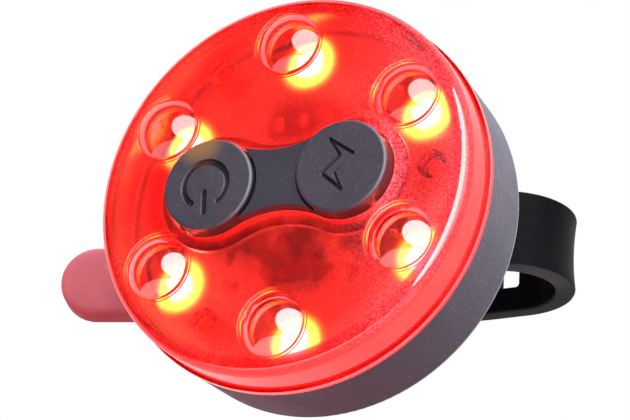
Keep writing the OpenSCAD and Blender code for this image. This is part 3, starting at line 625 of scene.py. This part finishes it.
# Blocky darker patches over the middle of the board.
square = {"Vector": where(tree), "Scale": BLOCK_WAVES, "Randomness": 0.7}
blocks = add(tree, "ShaderNodeTexVoronoi", square, distance="CHEBYCHEV").outputs["Color"]
block = add(tree, "ShaderNodeSeparateColor", {"Color": blocks}).outputs["Red"]
middle = fade(hypot(spot["X"], spot["Z"]), *BLOCK_REACH)
dark_patches = times(span(block, *BLOCK_FROM), middle)
white = tint(grain["Cloud"], BOARD_WHITE, BOARD_SHADE)
feed(shader, "Base Color", tint(dark_patches, white, BOARD_DARK_PATCHES))
# Painted glow of the lamps on the board, white at the core and yellow at its fringe.
glow = use(tree, glow_tree, Reach=2.25 * MM)
fringe = span(glow["Distance"], *LAMP_FRINGE_FROM)
shown = times(glow["Glow"], not_scattered(tree))
feed(shader, "Emission Color", scaled(tint(fringe, LAMP_CORE, LAMP_FRINGE), shown))
bump(shader, grain["Height"], strength=0.2)
print("finish:", board_finish.name)

# %% Lamp finish
LAMP_BODY = (0.85, 0.83, 0.76)
LAMP_BODY_SHADE = tuple(0.9 * c for c in LAMP_BODY)
LAMP_PHOSPHOR = (0.95, 0.72, 0.18)
LAMP_DOME_Y = mm(-14.35, -14.6)
LAMP_FORWARDS = (0.1, -0.4, 0.25, 1.0)
lamp_finish, tree, shader = finish_named("lit_lamp", Roughness=0.25, Emission_Strength=LAMP_STRENGTH)
grain = use(tree, grain_tree, Size=1.0)
dome = span(axes(where(tree))["Y"], *LAMP_DOME_Y)
body = tint(grain["Cloud"], LAMP_BODY, LAMP_BODY_SHADE)
feed(shader, "Base Color", tint(dome, body, LAMP_PHOSPHOR))
forwards = span(facing(tree)["Y"], *LAMP_FORWARDS)
shown = times(forwards, not_scattered(tree))
feed(shader, "Emission Color", scaled(LAMP_CORE, shown))
bump(shader, grain["Height"], strength=0.1)
print("finish:", lamp_finish.name)

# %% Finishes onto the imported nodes
NODE_FINISH = [
    (lens_finish, "lens_cover"), (case_finish, "case_shell"), (board_finish, "circuit_board"),
    (lamp_finish, " ".join(f"led_{i}" for i in range(1, LAMP_COUNT + 1))),
    (steel_finish, "power_switch mode_switch charging_socket case_screws bracket_screws anchor_pin"),
    (black_finish, "power_switch_stem mode_switch_stem control_chip socket_tongue"),
    (ceramic_finish, "small_components"), (connector_finish, "battery_connector"),
    (lead_finish, "battery_leads"), (foil_finish, "battery_cell"), (bracket_finish, "mount_bracket"),
]
for made, names in NODE_FINISH:
    for name in names.split():
        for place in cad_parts[name].material_slots:
            place.material = made
print("finishes on packed nodes:", len(NODE_FINISH))

# %% [markdown]
# ## From a mesh in the making to a finished piece
#
# Every modelled piece goes the same way: its doubles are merged, its faces are turned outwards, and
# it becomes an object at the origin that rides on its body and stands for its node. Cutting one shape
# out of another is left to the Boolean modifier, whose result is kept as a plain mesh.

# %% Meshes and modifiers
WELD = 0.001 * MM


def linked(name, data):
    """A new object in the scene."""
    made = bpy.data.objects.new(name, data)
    bpy.context.scene.collection.objects.link(made)
    return made


def as_object(name, bm):
    """Turns a bmesh into an object with clean outward faces."""
    bmesh.ops.remove_doubles(bm, verts=bm.verts, dist=WELD)
    bmesh.ops.recalc_face_normals(bm, faces=bm.faces)
    mesh = bpy.data.meshes.new(name)
    bm.to_mesh(mesh)
    bm.free()
    return linked(name, mesh)


def bake(piece):
    """Turns the modifiers of a piece into plain mesh."""
    graph = bpy.context.evaluated_depsgraph_get()
    mesh = bpy.data.meshes.new_from_object(piece.evaluated_get(graph))
    piece.modifiers.clear()
    piece.data = mesh


def cut(piece, cutters, operation="DIFFERENCE"):
    """Cuts the cutters out of the piece, or joins them to it, and removes them."""
    for cutter in cutters:
        step = piece.modifiers.new(operation.lower(), "BOOLEAN")
        step.operation = operation
        step.solver = "EXACT"
        step.object = cutter
        bake(piece)
        bpy.data.objects.remove(cutter)


def soften(piece, width, segments=3, angle=35):
    """Rounds the edges that are sharper than the angle. The width is in metres."""
    step = piece.modifiers.new("rounding", "BEVEL")
    step.width = width
    step.segments = segments
    step.limit_method = "ANGLE"
    step.angle_limit = math.radians(angle)
    step.harden_normals = False
    bake(piece)


print("points nearer than", WELD, "m are merged")

# %% Handing a piece over
SMOOTH_ANGLE = math.radians(38)
FLAT_ANGLE = math.radians(0.6)


def put(piece, made, body, slot, *nodes):
    """Gives the piece its finish and body, and hides the nodes it stands for. The slot is not used."""
    piece.data.materials.clear()
    piece.data.materials.append(made)
    for face in piece.data.polygons:
        face.use_smooth = True
        face.material_index = 0
    piece.data.set_sharp_from_angle(angle=SMOOTH_ANGLE)
    weighted = piece.modifiers.new("even_shading", "WEIGHTED_NORMAL")
    weighted.keep_sharp = True
    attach(piece, body)
    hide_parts(*nodes)
    print(piece.name, len(piece.data.polygons), "faces, stands for", nodes)


def merged_copy(node):
    """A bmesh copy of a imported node, with its loose triangles joined back into whole faces."""
    bm = bmesh.new()
    bm.from_mesh(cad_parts[node].data)
    bmesh.ops.remove_doubles(bm, verts=bm.verts, dist=WELD)
    bmesh.ops.dissolve_limit(bm, angle_limit=FLAT_ANGLE, verts=bm.verts, edges=bm.edges)
    return bm


print("edges sharper than", round(math.degrees(SMOOTH_ANGLE)), "degrees stay sharp")

# %% Shapes that several pieces are made or cut with
SPIN_STEPS = 96
SPIN_FLAT_ANGLE = math.radians(0.1)


def swept(bm, geom, centre, axis, angle, steps, merge=False):
    """Spins geometry about an axis and returns its far end."""
    made = bmesh.ops.spin(bm, geom=geom, cent=centre, axis=axis, angle=angle, steps=steps,
                          use_merge=merge, use_duplicate=False)
    return made["geom_last"]


def spun(profile, centre, steps=SPIN_STEPS):
    """A closed round shape: a half outline of (distance from the axis, place along Y) spun once."""
    bm = bmesh.new()
    points = [bm.verts.new((centre.x + radius * MM, y * MM, centre.z)) for radius, y in profile]
    edges = [bm.edges.new(pair) for pair in zip(points, points[1:])]
    swept(bm, points + edges, centre, (0, 1, 0), math.tau, steps, merge=True)
    bmesh.ops.remove_doubles(bm, verts=bm.verts, dist=WELD)
    bmesh.ops.dissolve_limit(bm, angle_limit=SPIN_FLAT_ANGLE, verts=bm.verts, edges=bm.edges)
    return bm


def arc(centre_r, centre_y, radius, start, end, steps):
    """Points of an arc in a half outline, by angle from the outward direction towards -Y."""
    turn = [math.radians(start + (end - start) * i / steps) for i in range(steps + 1)]
    return [(centre_r + radius * math.cos(a), centre_y - radius * math.sin(a)) for a in turn]


def only(kind, geometry):
    """The parts of one kind out of a mixed list of vertices, edges and faces."""
    return [part for part in geometry if isinstance(part, kind)]


def rounded_box(size, round_r, segments):
    """A box whose edges along Y are rounded, with its size and radius in millimetres."""
    bm = bmesh.new()
    bmesh.ops.create_cube(bm, size=1.0)
    bmesh.ops.scale(bm, vec=Vector(size) * MM, verts=bm.verts)
    along_y = [e for e in bm.edges if abs(e.verts[0].co.y - e.verts[1].co.y) > WELD]
    bmesh.ops.bevel(bm, geom=along_y, offset=round_r * MM, offset_type="OFFSET", segments=segments,
                    profile=0.5, affect="EDGES", material=-1)
    return bm


def placed(name, bm, turn, axis, centre):
    """Turns a shape about an axis, moves it to its centre in millimetres, and makes it an object."""
    bmesh.ops.rotate(bm, matrix=Matrix.Rotation(turn, 3, axis), verts=bm.verts)
    bmesh.ops.translate(bm, vec=Vector(centre) * MM, verts=bm.verts)
    return as_object(name, bm)


print("a round shape has", SPIN_STEPS, "steps")

# %% [markdown]
# ## The two rubber keys
#
# Each key is a round silicone button with a softly rounded rim, and its sign is sunk into its top. A
# half outline is spun once around the middle of the key. The sign is then cut out with a shape that
# is a little deeper than the groove: a ring with a gap and a bar for power, and a zigzag bolt for the
# flash mode.

# %% Key shape
KEY_R = 6.03
KEY_EDGE_R = 0.45
KEY_FOOT_R = 1.7
KEY_FOOT_Y = -17.1
KEY_SKIRT_Y = -17.7


def key_outline():
    """Half outline of a key from the middle of its foot to the middle of its top."""
    foot = [(0.0, KEY_FOOT_Y), (KEY_FOOT_R, KEY_FOOT_Y), (KEY_FOOT_R, KEY_SKIRT_Y)]
    rim = arc(KEY_R - KEY_EDGE_R, KEY_TOP + KEY_EDGE_R, KEY_EDGE_R, 0, 90, steps=6)
    return foot + [(KEY_R, KEY_SKIRT_Y)] + rim + [(0.0, KEY_TOP)]


print("key outline points:", len(key_outline()))

# %% Cutters for the signs
SIGN_DEPTH = 0.5
SIGN_STAGGER = 1.07
GROOVE_ROUND = 0.49


def groove_block(name, start, end, width, depth):
    """A round-ended box along a line of the sign, from one (x, z) point to another."""
    length = math.dist(start, end)
    bm = rounded_box((length + width, 2 * depth, width), GROOVE_ROUND * width, segments=6)
    turn = -math.atan2(end[1] - start[1], end[0] - start[0])
    middle = ((start[0] + end[0]) / 2, KEY_TOP, (start[1] + end[1]) / 2)
    return placed(name, bm, turn, "Y", middle)


def open_ring(name, middle_x, ring_r, start, end, width):
    """A cutter for an open ring: a small section is spun through part of a turn."""
    bm = bmesh.new()
    half = width / 2 * MM
    inner, outer = ring_r * MM - half, ring_r * MM + half
    lean = Matrix.Rotation(-math.radians(start), 3, "Y")
    corners = [(inner, -1), (outer, -1), (outer, 1), (inner, 1)]
    verts = [bm.verts.new(lean @ Vector((x, side * SIGN_DEPTH * MM, 0))) for x, side in corners]
    swept(bm, [bm.faces.new(verts)], (0, 0, 0), (0, -1, 0), math.radians(end - start), steps=60)
    bmesh.ops.translate(bm, vec=Vector((middle_x, KEY_TOP, 0)) * MM, verts=bm.verts)
    return as_object(name, bm)


def groove_end(name, x, z, radius):
    """A round cutter for the end of the ring, a hair wider and deeper, so that no two walls meet."""
    low, high = KEY_TOP - SIGN_STAGGER * SIGN_DEPTH, KEY_TOP + SIGN_STAGGER * SIGN_DEPTH
    outline = [(0.0, low), (radius, low), (radius, high), (0.0, high)]
    return as_object(name, spun(outline, Vector((x * MM, 0, z * MM)), steps=32))


print("sign depth:", SIGN_DEPTH, "mm")

# %% Power key
KEY_SOFT_EDGE = 0.06 * MM
SHARPER_THAN = 50
POWER_X = -KEY_X - 0.3
POWER_RING_R = 2.95
POWER_GROOVE_W = 0.85
POWER_GAP = (-52, 232)
POWER_BAR = ((POWER_X - 0.1, -1.1), (POWER_X, -3.7))


def key(name, side, cutters, body, node):
    """A key with its sign cut in and every rim eased."""
    piece = as_object(name, spun(key_outline(), Vector((side * KEY_X * MM, 0, 0))))
    cut(piece, cutters)
    soften(piece, KEY_SOFT_EDGE, segments=2, angle=SHARPER_THAN)
    put(piece, key_finish, body, "button_rubber", node)


power_cutters = [open_ring("cut_ring", POWER_X, POWER_RING_R, *POWER_GAP, POWER_GROOVE_W)]
for turn in POWER_GAP:
    end_x = POWER_X + POWER_RING_R * math.cos(math.radians(turn))
    end_z = POWER_RING_R * math.sin(math.radians(turn))
    power_cutters.append(groove_end("cut_end", end_x, end_z, SIGN_STAGGER * POWER_GROOVE_W / 2))
power_cutters.append(groove_block("cut_bar", *POWER_BAR, POWER_GROOVE_W, SIGN_DEPTH))
key("power_key_top", -1, power_cutters, "power_key", "power_button")

# %% Flash key
FLASH_GROOVE_W = 0.46
FLASH_FAINT_W = 0.24
FLASH_FAINT_DEPTH = 0.3
FLASH_POINTS = [(1.6, 1.45), (-1.63, 3.76), (-0.1, 1.36), (-2.45, -0.71), (0.24, -3.13),
                (-0.75, -0.94), (1.6, 1.45)]
flash_cutters = []
for i, ends in enumerate(zip(FLASH_POINTS, FLASH_POINTS[1:])):
    last = i == len(FLASH_POINTS) - 2
    stagger = SIGN_STAGGER ** (i % 2)
    width = FLASH_FAINT_W if last else FLASH_GROOVE_W * stagger
    depth = FLASH_FAINT_DEPTH * SIGN_DEPTH if last else SIGN_DEPTH * stagger
    start, end = [(KEY_X + x, z) for x, z in ends]
    flash_cutters.append(groove_block(f"cut_bolt_{i}", start, end, width, depth))
key("flash_key_top", 1, flash_cutters, "mode_key", "mode_button")

# %% [markdown]
# ## The rubber bridge and the small rubber parts
#
# The bridge that joins the keys is one moulding with the flange that seals it under the lens. A copy
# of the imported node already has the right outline, so it is joined into whole faces and every sharp
# rim is rounded, as silicone always is. The seal, the port's cover and the foam go the same way.

# %% Soft copies of the rubber parts
def soft_copy(name, node, made, body, slot, width):
    """A copy of a rubber node with rounded rims. The width is in millimetres."""
    piece = as_object(name, merged_copy(node))
    soften(piece, width * MM)
    put(piece, made, body, slot, node)


soft_copy("button_bridge", "button_pad", button_finish, "light", "button_rubber", width=0.22)
soft_copy("lens_seal", "sealing_ring", seal_finish, "light", "seal_rubber", width=0.12)
soft_copy("port_flap", "port_cover", cover_finish, "cover", "button_rubber", width=0.18)
soft_copy("cell_cushion", "battery_foam_pad", foam_finish, "light", "foam", width=0.3)

# %% [markdown]
# ## The saddle liner
#
# The liner is the ribbed rubber that grips the post. Its upright section, a wavy line of ribs and
# grooves, is drawn once and spun around the middle of the post, and its corners are then trimmed to
# the rounded outline of the bracket.

# %% Section of the liner
SADDLE_R = 16.0
LINER_T = 1.2
LINER_HALF_W = 10.6
BRACKET_H = 32.0
GROOVE_STEP = BRACKET_H / 8
GROOVE_HALF = LINER_T / 2
GROOVE_DEPTH = LINER_T / 3
GROOVES = range(-3, 4)
RIB_EASE = 0.15


def liner_section():
    """Points (distance from the post's middle, place along Z) around the liner's upright section."""
    inner, floor_r, outer, top = SADDLE_R, SADDLE_R + GROOVE_DEPTH, SADDLE_R + LINER_T, BRACKET_H / 2
    points = [(outer, -top), (inner + RIB_EASE, -top), (inner, -top + RIB_EASE)]
    for i in GROOVES:
        low, high = i * GROOVE_STEP - GROOVE_HALF, i * GROOVE_STEP + GROOVE_HALF
        points += [(inner, low - RIB_EASE), (inner + RIB_EASE, low), (floor_r - RIB_EASE, low),
                   (floor_r, low + RIB_EASE), (floor_r, high - RIB_EASE), (floor_r - RIB_EASE, high),
                   (inner + RIB_EASE, high), (inner, high + RIB_EASE)]
    return points + [(inner, top - RIB_EASE), (inner + RIB_EASE, top), (outer, top)]


print("points in the liner's section:", len(liner_section()))

# %% Saddle liner
TRIM_OVER = 1.15
TRIM_W = 26.0
TRIM_DEPTH = 40.0
BRACKET_CORNER = 5.0
liner = bmesh.new()
half_turn = math.asin(TRIM_OVER * LINER_HALF_W / (SADDLE_R + LINER_T))
lean_to = Matrix.Rotation(-half_turn, 3, "Z")
section = [liner.verts.new(lean_to @ Vector((0, -radius * MM, z * MM)))
           for radius, z in liner_section()]
swept(liner, [liner.faces.new(section)], (0, 0, 0), (0, 0, 1), 2 * half_turn, steps=48)
bmesh.ops.translate(liner, vec=(0, SADDLE_R * MM, 0), verts=liner.verts)
saddle = as_object("saddle_liner", liner)
trim = rounded_box((TRIM_W, TRIM_DEPTH, BRACKET_H), BRACKET_CORNER, segments=12)
for side in (-1, 1):
    whole = trim.verts[:] + trim.edges[:] + trim.faces[:]
    cut_off = bmesh.ops.bisect_plane(trim, geom=whole, plane_co=(side * LINER_HALF_W * MM, 0, 0),
                                     plane_no=(side, 0, 0), clear_outer=True)
    bmesh.ops.edgenet_fill(trim, edges=only(BMEdge, cut_off["geom_cut"]))
cut(saddle, [as_object("liner_trim", trim)], "INTERSECT")
put(saddle, pad_finish, "light", "strap_rubber", "saddle_pad")

# %% [markdown]
# ## The strap
#
# The strap is one long silicone band. Its cross-section is drawn once, with round corners and a
# slightly hollow outer face, and then carried along its route: straight off the pin, around the bend,
# along the long curve and straight on to the pull tab. Its slots are cut, and then the eye is spun
# and joined on, a hair narrower than the band, so that no two faces lie in one plane.

# %% Section of the strap
STRAP_W = 10.1
STRAP_T = 2.6
STRAP_CORNER = 0.4
STRAP_HOLLOW = 0.3
CORNER_STEPS = 4
OUTER_SHARES = (0.8, 0.6, 0.4, 0.2, 0.0, -0.2, -0.4, -0.6, -0.8)
INNER_SHARES = (-0.5, 0.0, 0.5)


def strap_section():
    """Points (across the width, out from the middle of the thickness) around the strap's section."""
    half_w, half_t, r = STRAP_W / 2, STRAP_T / 2, STRAP_CORNER
    flat = half_w - r
    corner_at = [(flat, half_t - r, 0), (-flat, half_t - r, 90),
                 (-flat, -half_t + r, 180), (flat, -half_t + r, 270)]
    points = []
    for w, t, start in corner_at:
        for i in range(CORNER_STEPS + 1):
            a = math.radians(start + 90 / CORNER_STEPS * i)
            points.append((w + r * math.cos(a), t + r * math.sin(a)))
        if start == 0:
            points += [(s * flat, half_t - STRAP_HOLLOW * (1 - s ** 2)) for s in OUTER_SHARES]
        if start == 180:
            points += [(s * flat, -half_t) for s in INNER_SHARES]
    return points


print("points in the strap's section:", len(strap_section()))

# %% Band along its route
PIN = (15.0, 2.9)
BEND = (17.6, 9.56)
BEND_MID_R = 7.76
BEND_OUTER_R = 9.06
CURVE_X = 13.5
CURVE_R = 39.0
CURVE_ANGLE = 17.5
RUN_TO_TAB = 32.3


def new_end(bm, face, made):
    """Drops the old end face and returns the new one."""
    bmesh.ops.delete(bm, geom=[face], context="FACES_ONLY")
    return only(BMFace, made)[0]


def drawn_out(bm, face, step):
    """Extrudes the end face by one straight step and returns the new end face."""
    made = bmesh.ops.extrude_face_region(bm, geom=[face])["geom"]
    bmesh.ops.translate(bm, vec=Vector(step) * MM, verts=only(BMVert, made))
    return new_end(bm, face, made)


def turned(bm, face, centre, degrees, steps):
    """Spins the end face around an upright axis and returns the new end face."""
    middle = Vector((*centre, 0)) * MM
    return new_end(bm, face, swept(bm, [face], middle, (0, 0, 1), math.radians(degrees), steps))


band = bmesh.new()
near_y, far_y = BEND[1] - BEND_MID_R, BEND[1] + BEND_MID_R
lean = math.radians(CURVE_ANGLE)
verts = [band.verts.new(Vector((PIN[0], near_y - outwards, across_by)) * MM)
         for across_by, outwards in strap_section()]
end = band.faces.new(verts)
end = drawn_out(band, end, (BEND[0] - PIN[0], 0, 0))
end = turned(band, end, BEND, 180, steps=48)
end = drawn_out(band, end, (CURVE_X - BEND[0], 0, 0))
end = turned(band, end, (CURVE_X, far_y - CURVE_R), CURVE_ANGLE, steps=16)
end = drawn_out(band, end, (-RUN_TO_TAB * math.cos(lean), -RUN_TO_TAB * math.sin(lean), 0))
bmesh.ops.holes_fill(band, edges=[e for e in band.edges if e.is_boundary], sides=0)
strap = as_object("strap_band", band)
print("strap band faces:", len(strap.data.polygons))

# %% Slots
SLOTS_X = (15.5, 6.9, -1.7, -10.3)
SLOT_L = 3.0
SLOT_W = 3.6
SLOT_ROUND = 0.45
SLOT_CUT = 2 * BEND_OUTER_R
HOOK = (-21.5, 8.18)
HOOK_LEAN = -8.23
HOOK_SLOT_L = 4.6
STRAP_SOFT_EDGE = 0.12 * MM


def block_cutter(name, centre, size, turn, round_r):
    """A box with its edges along Y rounded, turned about Z."""
    return placed(name, rounded_box(size, round_r, segments=4), turn, "Z", centre)


slot_y = BEND[1] + SLOT_CUT / 2
cut(strap, [block_cutter(f"slot_{i}", (x, slot_y, 0), (SLOT_L, SLOT_CUT, SLOT_W), 0.0, SLOT_ROUND)
            for i, x in enumerate(SLOTS_X)])
cut(strap, [block_cutter("hook_slot", (*HOOK, 0), (HOOK_SLOT_L, SLOT_CUT, SLOT_W),
                         math.radians(HOOK_LEAN), SLOT_ROUND)])
soften(strap, STRAP_SOFT_EDGE, segments=2, angle=SHARPER_THAN)
print("slots:", len(SLOTS_X) + 1)

# %% Eye round the pin
EYE_R = 2.4
EYE_INSET = 0.02
PIN_HOLE_R = 1.06
HOLE_EASE = 0.12


def around_pin(name, upper):
    """A round shape around the pin. The upper half of its outline is given and is mirrored."""
    lower = [(radius, -height) for radius, height in reversed(upper)]
    bm = spun(lower + upper, Vector((0, 0, 0)), steps=64)
    return placed(name, bm, math.pi / 2, "X", (*PIN, 0))


def eye_outline():
    """Half outline of the eye, a hair narrower than the band."""
    half_h = STRAP_W / 2 - EYE_INSET
    rim = arc(EYE_R - STRAP_CORNER, -(half_h - STRAP_CORNER), STRAP_CORNER, 0, 90, steps=4)
    return [(r, -y) for r, y in rim] + [(0.0, half_h)]


def hole_outline():
    """Half outline of the pin's hole, which opens out at the rim."""
    mouth_r, mouth_y = PIN_HOLE_R + HOLE_EASE, STRAP_W / 2 - EYE_INSET - HOLE_EASE
    rim = arc(mouth_r, mouth_y, -HOLE_EASE, 0, 90, steps=4)
    return rim + [(mouth_r, STRAP_W), (0.0, STRAP_W)]


cut(strap, [around_pin("eye", eye_outline())], "UNION")
cut(strap, [around_pin("pin_hole", hole_outline())])
print("rubber round the pin:", round(EYE_R - PIN_HOLE_R, 2), "mm")

# %% Tongue for the tab
TONGUE_L = 4.0
TONGUE_ROOT = 0.5
TONGUE_T = 1.4
TONGUE_W = 5.6
TONGUE_ROUND = 0.2
along_strap = Vector((-math.cos(lean), -math.sin(lean), 0))
curve_end = Vector((CURVE_X - CURVE_R * math.sin(lean), far_y - CURVE_R * (1 - math.cos(lean)), 0))
shoulder = curve_end + RUN_TO_TAB * along_strap
tongue_at = shoulder + (TONGUE_L - TONGUE_ROOT) / 2 * along_strap
tongue_size = (TONGUE_L + TONGUE_ROOT, TONGUE_T, TONGUE_W)
cut(strap, [block_cutter("tongue", tongue_at, tongue_size, lean, TONGUE_ROUND)], "UNION")
put(strap, strap_finish, "strap_body", "strap_rubber", "strap")

# %% [markdown]
# ## The pull tab
#
# The tab is a flat, round-ended grip moulded over the end of the strap in a bright silicone. Half of
# its section is spun half a turn to make the round end, and the open rim is then drawn out into the
# straight part. A pocket takes the strap's tongue.

# %% Section of the tab
TAB_L = 14.0
TAB_W = 9.6
TAB_T = 4.2
TAB_EDGE_R = 1.0
TAB_EDGE_ANGLES = (18, 36, 54, 72, 90)
TAB_CROWN = 0.12
CROWN_STARTS = (0.35, 0.1)


def tab_section():
    """Points (across, up) around half of the tab's section, from its middle below to its middle above."""
    half_w, half_t, r = TAB_W / 2, TAB_T / 2, TAB_EDGE_R
    low = -half_t + TAB_CROWN
    starts_w, starts_t = CROWN_STARTS
    lower = [(0.0, -half_t), (starts_w * half_w, -half_t + starts_t * TAB_CROWN), (half_w - r, low)]
    turns = [math.radians(a) for a in TAB_EDGE_ANGLES]
    lower += [(half_w - r + r * math.sin(a), low + r - r * math.cos(a)) for a in turns]
    return lower + [(w, -t) for w, t in reversed(lower)]


print("points in the tab's section:", len(tab_section()))

# %% Pull tab
TONGUE_FIT = 0.05
tab = bmesh.new()
straight = (TAB_L - TAB_W / 2) * MM
half = [tab.verts.new((straight, up * MM, across_by * MM)) for across_by, up in tab_section()]
half_edges = [tab.edges.new(pair) for pair in zip(half, half[1:])]
swept(tab, half + half_edges, (straight, 0, 0), (0, 1, 0), math.pi, steps=40)
bmesh.ops.remove_doubles(tab, verts=tab.verts, dist=WELD)
rim = [e for e in tab.edges if e.is_boundary and all(abs(v.co.x - straight) < WELD for v in e.verts)]
grown = bmesh.ops.extrude_edge_only(tab, edges=rim)["geom"]
bmesh.ops.translate(tab, vec=(-straight, 0, 0), verts=only(BMVert, grown))
bmesh.ops.contextual_create(tab, geom=only(BMEdge, grown))
onto_strap = Matrix.Translation(shoulder * MM) @ Matrix.Rotation(math.pi + lean, 4, "Z")
bmesh.ops.transform(tab, matrix=onto_strap, verts=tab.verts)
tab_piece = as_object("tab_grip", tab)
pocket_size = (TONGUE_L + TONGUE_FIT + TONGUE_ROOT, TONGUE_T + 2 * TONGUE_FIT,
               TONGUE_W + 2 * TONGUE_FIT)
pocket_at = shoulder + (TONGUE_L + TONGUE_FIT - TONGUE_ROOT) / 2 * along_strap
cut(tab_piece, [block_cutter("pocket", pocket_at, pocket_size, lean, TONGUE_ROUND)])
put(tab_piece, tab_finish, "strap_body", "tab_rubber", "pull_tab")

# %% [markdown]
# ## Camera
#
# The light is seen from a little below and from its right, close to level with its face. The numbers
# were found by fitting the round edges of the lens and case to the picture's view.

# %% Camera
CAMERA_AT = (0.160103, -0.340031, -0.157240)
CAMERA_RIGHT = (0.907708, 0.416526, 0.050725)
CAMERA_UP = (0.122602, -0.378888, 0.917285)
CAMERA_BACK = (0.401292, -0.826408, -0.394987)
FOCAL_LENGTH = 182.857
camera_data = bpy.data.cameras.new("view")
camera_data.lens = FOCAL_LENGTH
camera_data.clip_start = 0.01
camera_data.clip_end = 20.0
camera = linked("view", camera_data)
turn = Matrix((CAMERA_RIGHT, CAMERA_UP, CAMERA_BACK)).transposed()
camera.matrix_world = Matrix.Translation(CAMERA_AT) @ turn.to_4x4()
bpy.context.scene.camera = camera
print("camera at", CAMERA_AT)

# %% [markdown]
# ## Studio
#
# A pale floor lies well below the light, and the world is an even white. One large softbox stands to
# the upper right of the camera: it gives the case its gradient and each bubble its bright window. It
# is two lamps in one place, one seen only in reflections and one for everything else, so that the
# windows can be bright while the surfaces don't clip. Weaker lamps fill the shadows from the left,
# light the top edge, and throw back the red light that a lit rear light spreads below itself.

# %% Floor and world
FLOOR_Z = -0.6
FLOOR_HALF = 4.0
FLOOR_GREYS = ((0.30, 0.28, 0.28), (0.27, 0.25, 0.25))
FLOOR_WAVES = 3.0
FLOOR_SHOWN = 0.86
WHITE = (1.0, 1.0, 1.0)
WORLD_LIGHT, WORLD_SHOWN = 0.25, 1.0


def looked_at(tree):
    """1 for rays that look at a background: straight, mirrored or through glass."""
    path = add(tree, "ShaderNodeLightPath").outputs
    return calc("MAXIMUM", path["Is Glossy Ray"], path["Is Transmission Ray"], path["Is Camera Ray"])


floor_mesh = bmesh.new()
bmesh.ops.create_grid(floor_mesh, x_segments=1, y_segments=1, size=FLOOR_HALF)
bmesh.ops.translate(floor_mesh, vec=(0, 0, FLOOR_Z), verts=floor_mesh.verts)
floor = as_object("studio_floor", floor_mesh)
floor_finish, tree, shader = finish_named("pale_floor", Roughness=0.9, Emission_Strength=FLOOR_SHOWN)
feed(shader, "Base Color", tint(noise(tree, FLOOR_WAVES), *FLOOR_GREYS))
feed(shader, "Emission Color", scaled(WHITE, looked_at(tree)))
floor.data.materials.append(floor_finish)

world = bpy.data.worlds.new("studio")
bpy.context.scene.world = world
world.use_nodes = True
sky = world.node_tree.nodes["Background"]
sky.inputs["Color"].default_value = rgba(WHITE)
world_strength = span(looked_at(world.node_tree), 0.0, 1.0, WORLD_LIGHT, WORLD_SHOWN)
world.node_tree.links.new(world_strength, sky.inputs["Strength"])
print("floor at", FLOOR_Z, "m, world light", WORLD_LIGHT)

# %% Lamps
LAMP_SIZE = (0.84, 0.80)
LAMP_AREA = math.pi / 4 * LAMP_SIZE[0] * LAMP_SIZE[1]
LAMP_AWAY = 0.6
WINDOW_AWAY = 0.61
RED_LIGHT = (1.0, 0.03, 0.12)
SOFTBOX_FROM = (0.618, -0.752, 0.229)
FILL_FROM = (-0.70, -0.66, 0.25)
TOP_FROM = (0.52, -0.10, 0.85)
BOUNCE_FROM = (-0.42, -0.45, -0.79)


def panel(name, direction, distance, radiance, colour=WHITE):
    """An oval lamp in a direction from the light, facing it, with a given brightness of its face."""
    data = bpy.data.lights.new(name, "AREA")
    data.shape = "ELLIPSE"
    data.size, data.size_y = LAMP_SIZE
    data.energy = radiance * math.pi * LAMP_AREA
    data.color = colour
    made = linked(name, data)
    towards = Vector(direction).normalized()
    facing_light = towards.to_track_quat("Z", "Y").to_matrix().to_4x4()
    made.matrix_world = Matrix.Translation(towards * distance) @ facing_light
    return made


window = panel("softbox_window", SOFTBOX_FROM, WINDOW_AWAY, radiance=4.3)
window.visible_diffuse = False
for lamp in (panel("softbox_light", SOFTBOX_FROM, LAMP_AWAY, radiance=2.4),
             panel("fill_light", FILL_FROM, LAMP_AWAY, radiance=1.0),
             panel("top_light", TOP_FROM, LAMP_AWAY, radiance=3.0),
             panel("red_bounce", BOUNCE_FROM, LAMP_AWAY, radiance=1.7, colour=RED_LIGHT)):
    lamp.visible_glossy = False
print("lamp area:", round(LAMP_AREA, 3), "square metres")

# %% [markdown]
# ## What the gloss mirrors
#
# In an even white world a glossy bubble turns pale all over. A studio hangs black cloth in front of
# such a thing, so that only the softbox shows in its gloss. Here it is half a dark ball that nothing
# but mirrored rays can see.

# %% Black tent
TENT_R = 1.4
TENT_BACK = -0.25
TENT_WAVES = 200.0
TENT_BLACKS = ((0.004, 0.004, 0.004), (0.008, 0.008, 0.008))
tent_mesh = bmesh.new()
bmesh.ops.create_icosphere(tent_mesh, subdivisions=4, radius=TENT_R)
whole = tent_mesh.verts[:] + tent_mesh.edges[:] + tent_mesh.faces[:]
bmesh.ops.bisect_plane(tent_mesh, geom=whole, plane_co=(0, TENT_BACK, 0), plane_no=(0, 1, 0),
                       clear_outer=True)
tent = as_object("black_tent", tent_mesh)
tent_finish, tree, shader = finish_named("black_velvet", Roughness=1.0, Specular_IOR_Level=0.0)
feed(shader, "Base Color", tint(noise(tree, TENT_WAVES), *TENT_BLACKS))
tent.data.materials.append(tent_finish)
for rays in ("camera", "diffuse", "shadow", "transmission"):
    setattr(tent, "visible_" + rays, False)
print("tent:", TENT_R, "m")

# %% View settings
bpy.context.scene.view_settings.view_transform = "Standard"
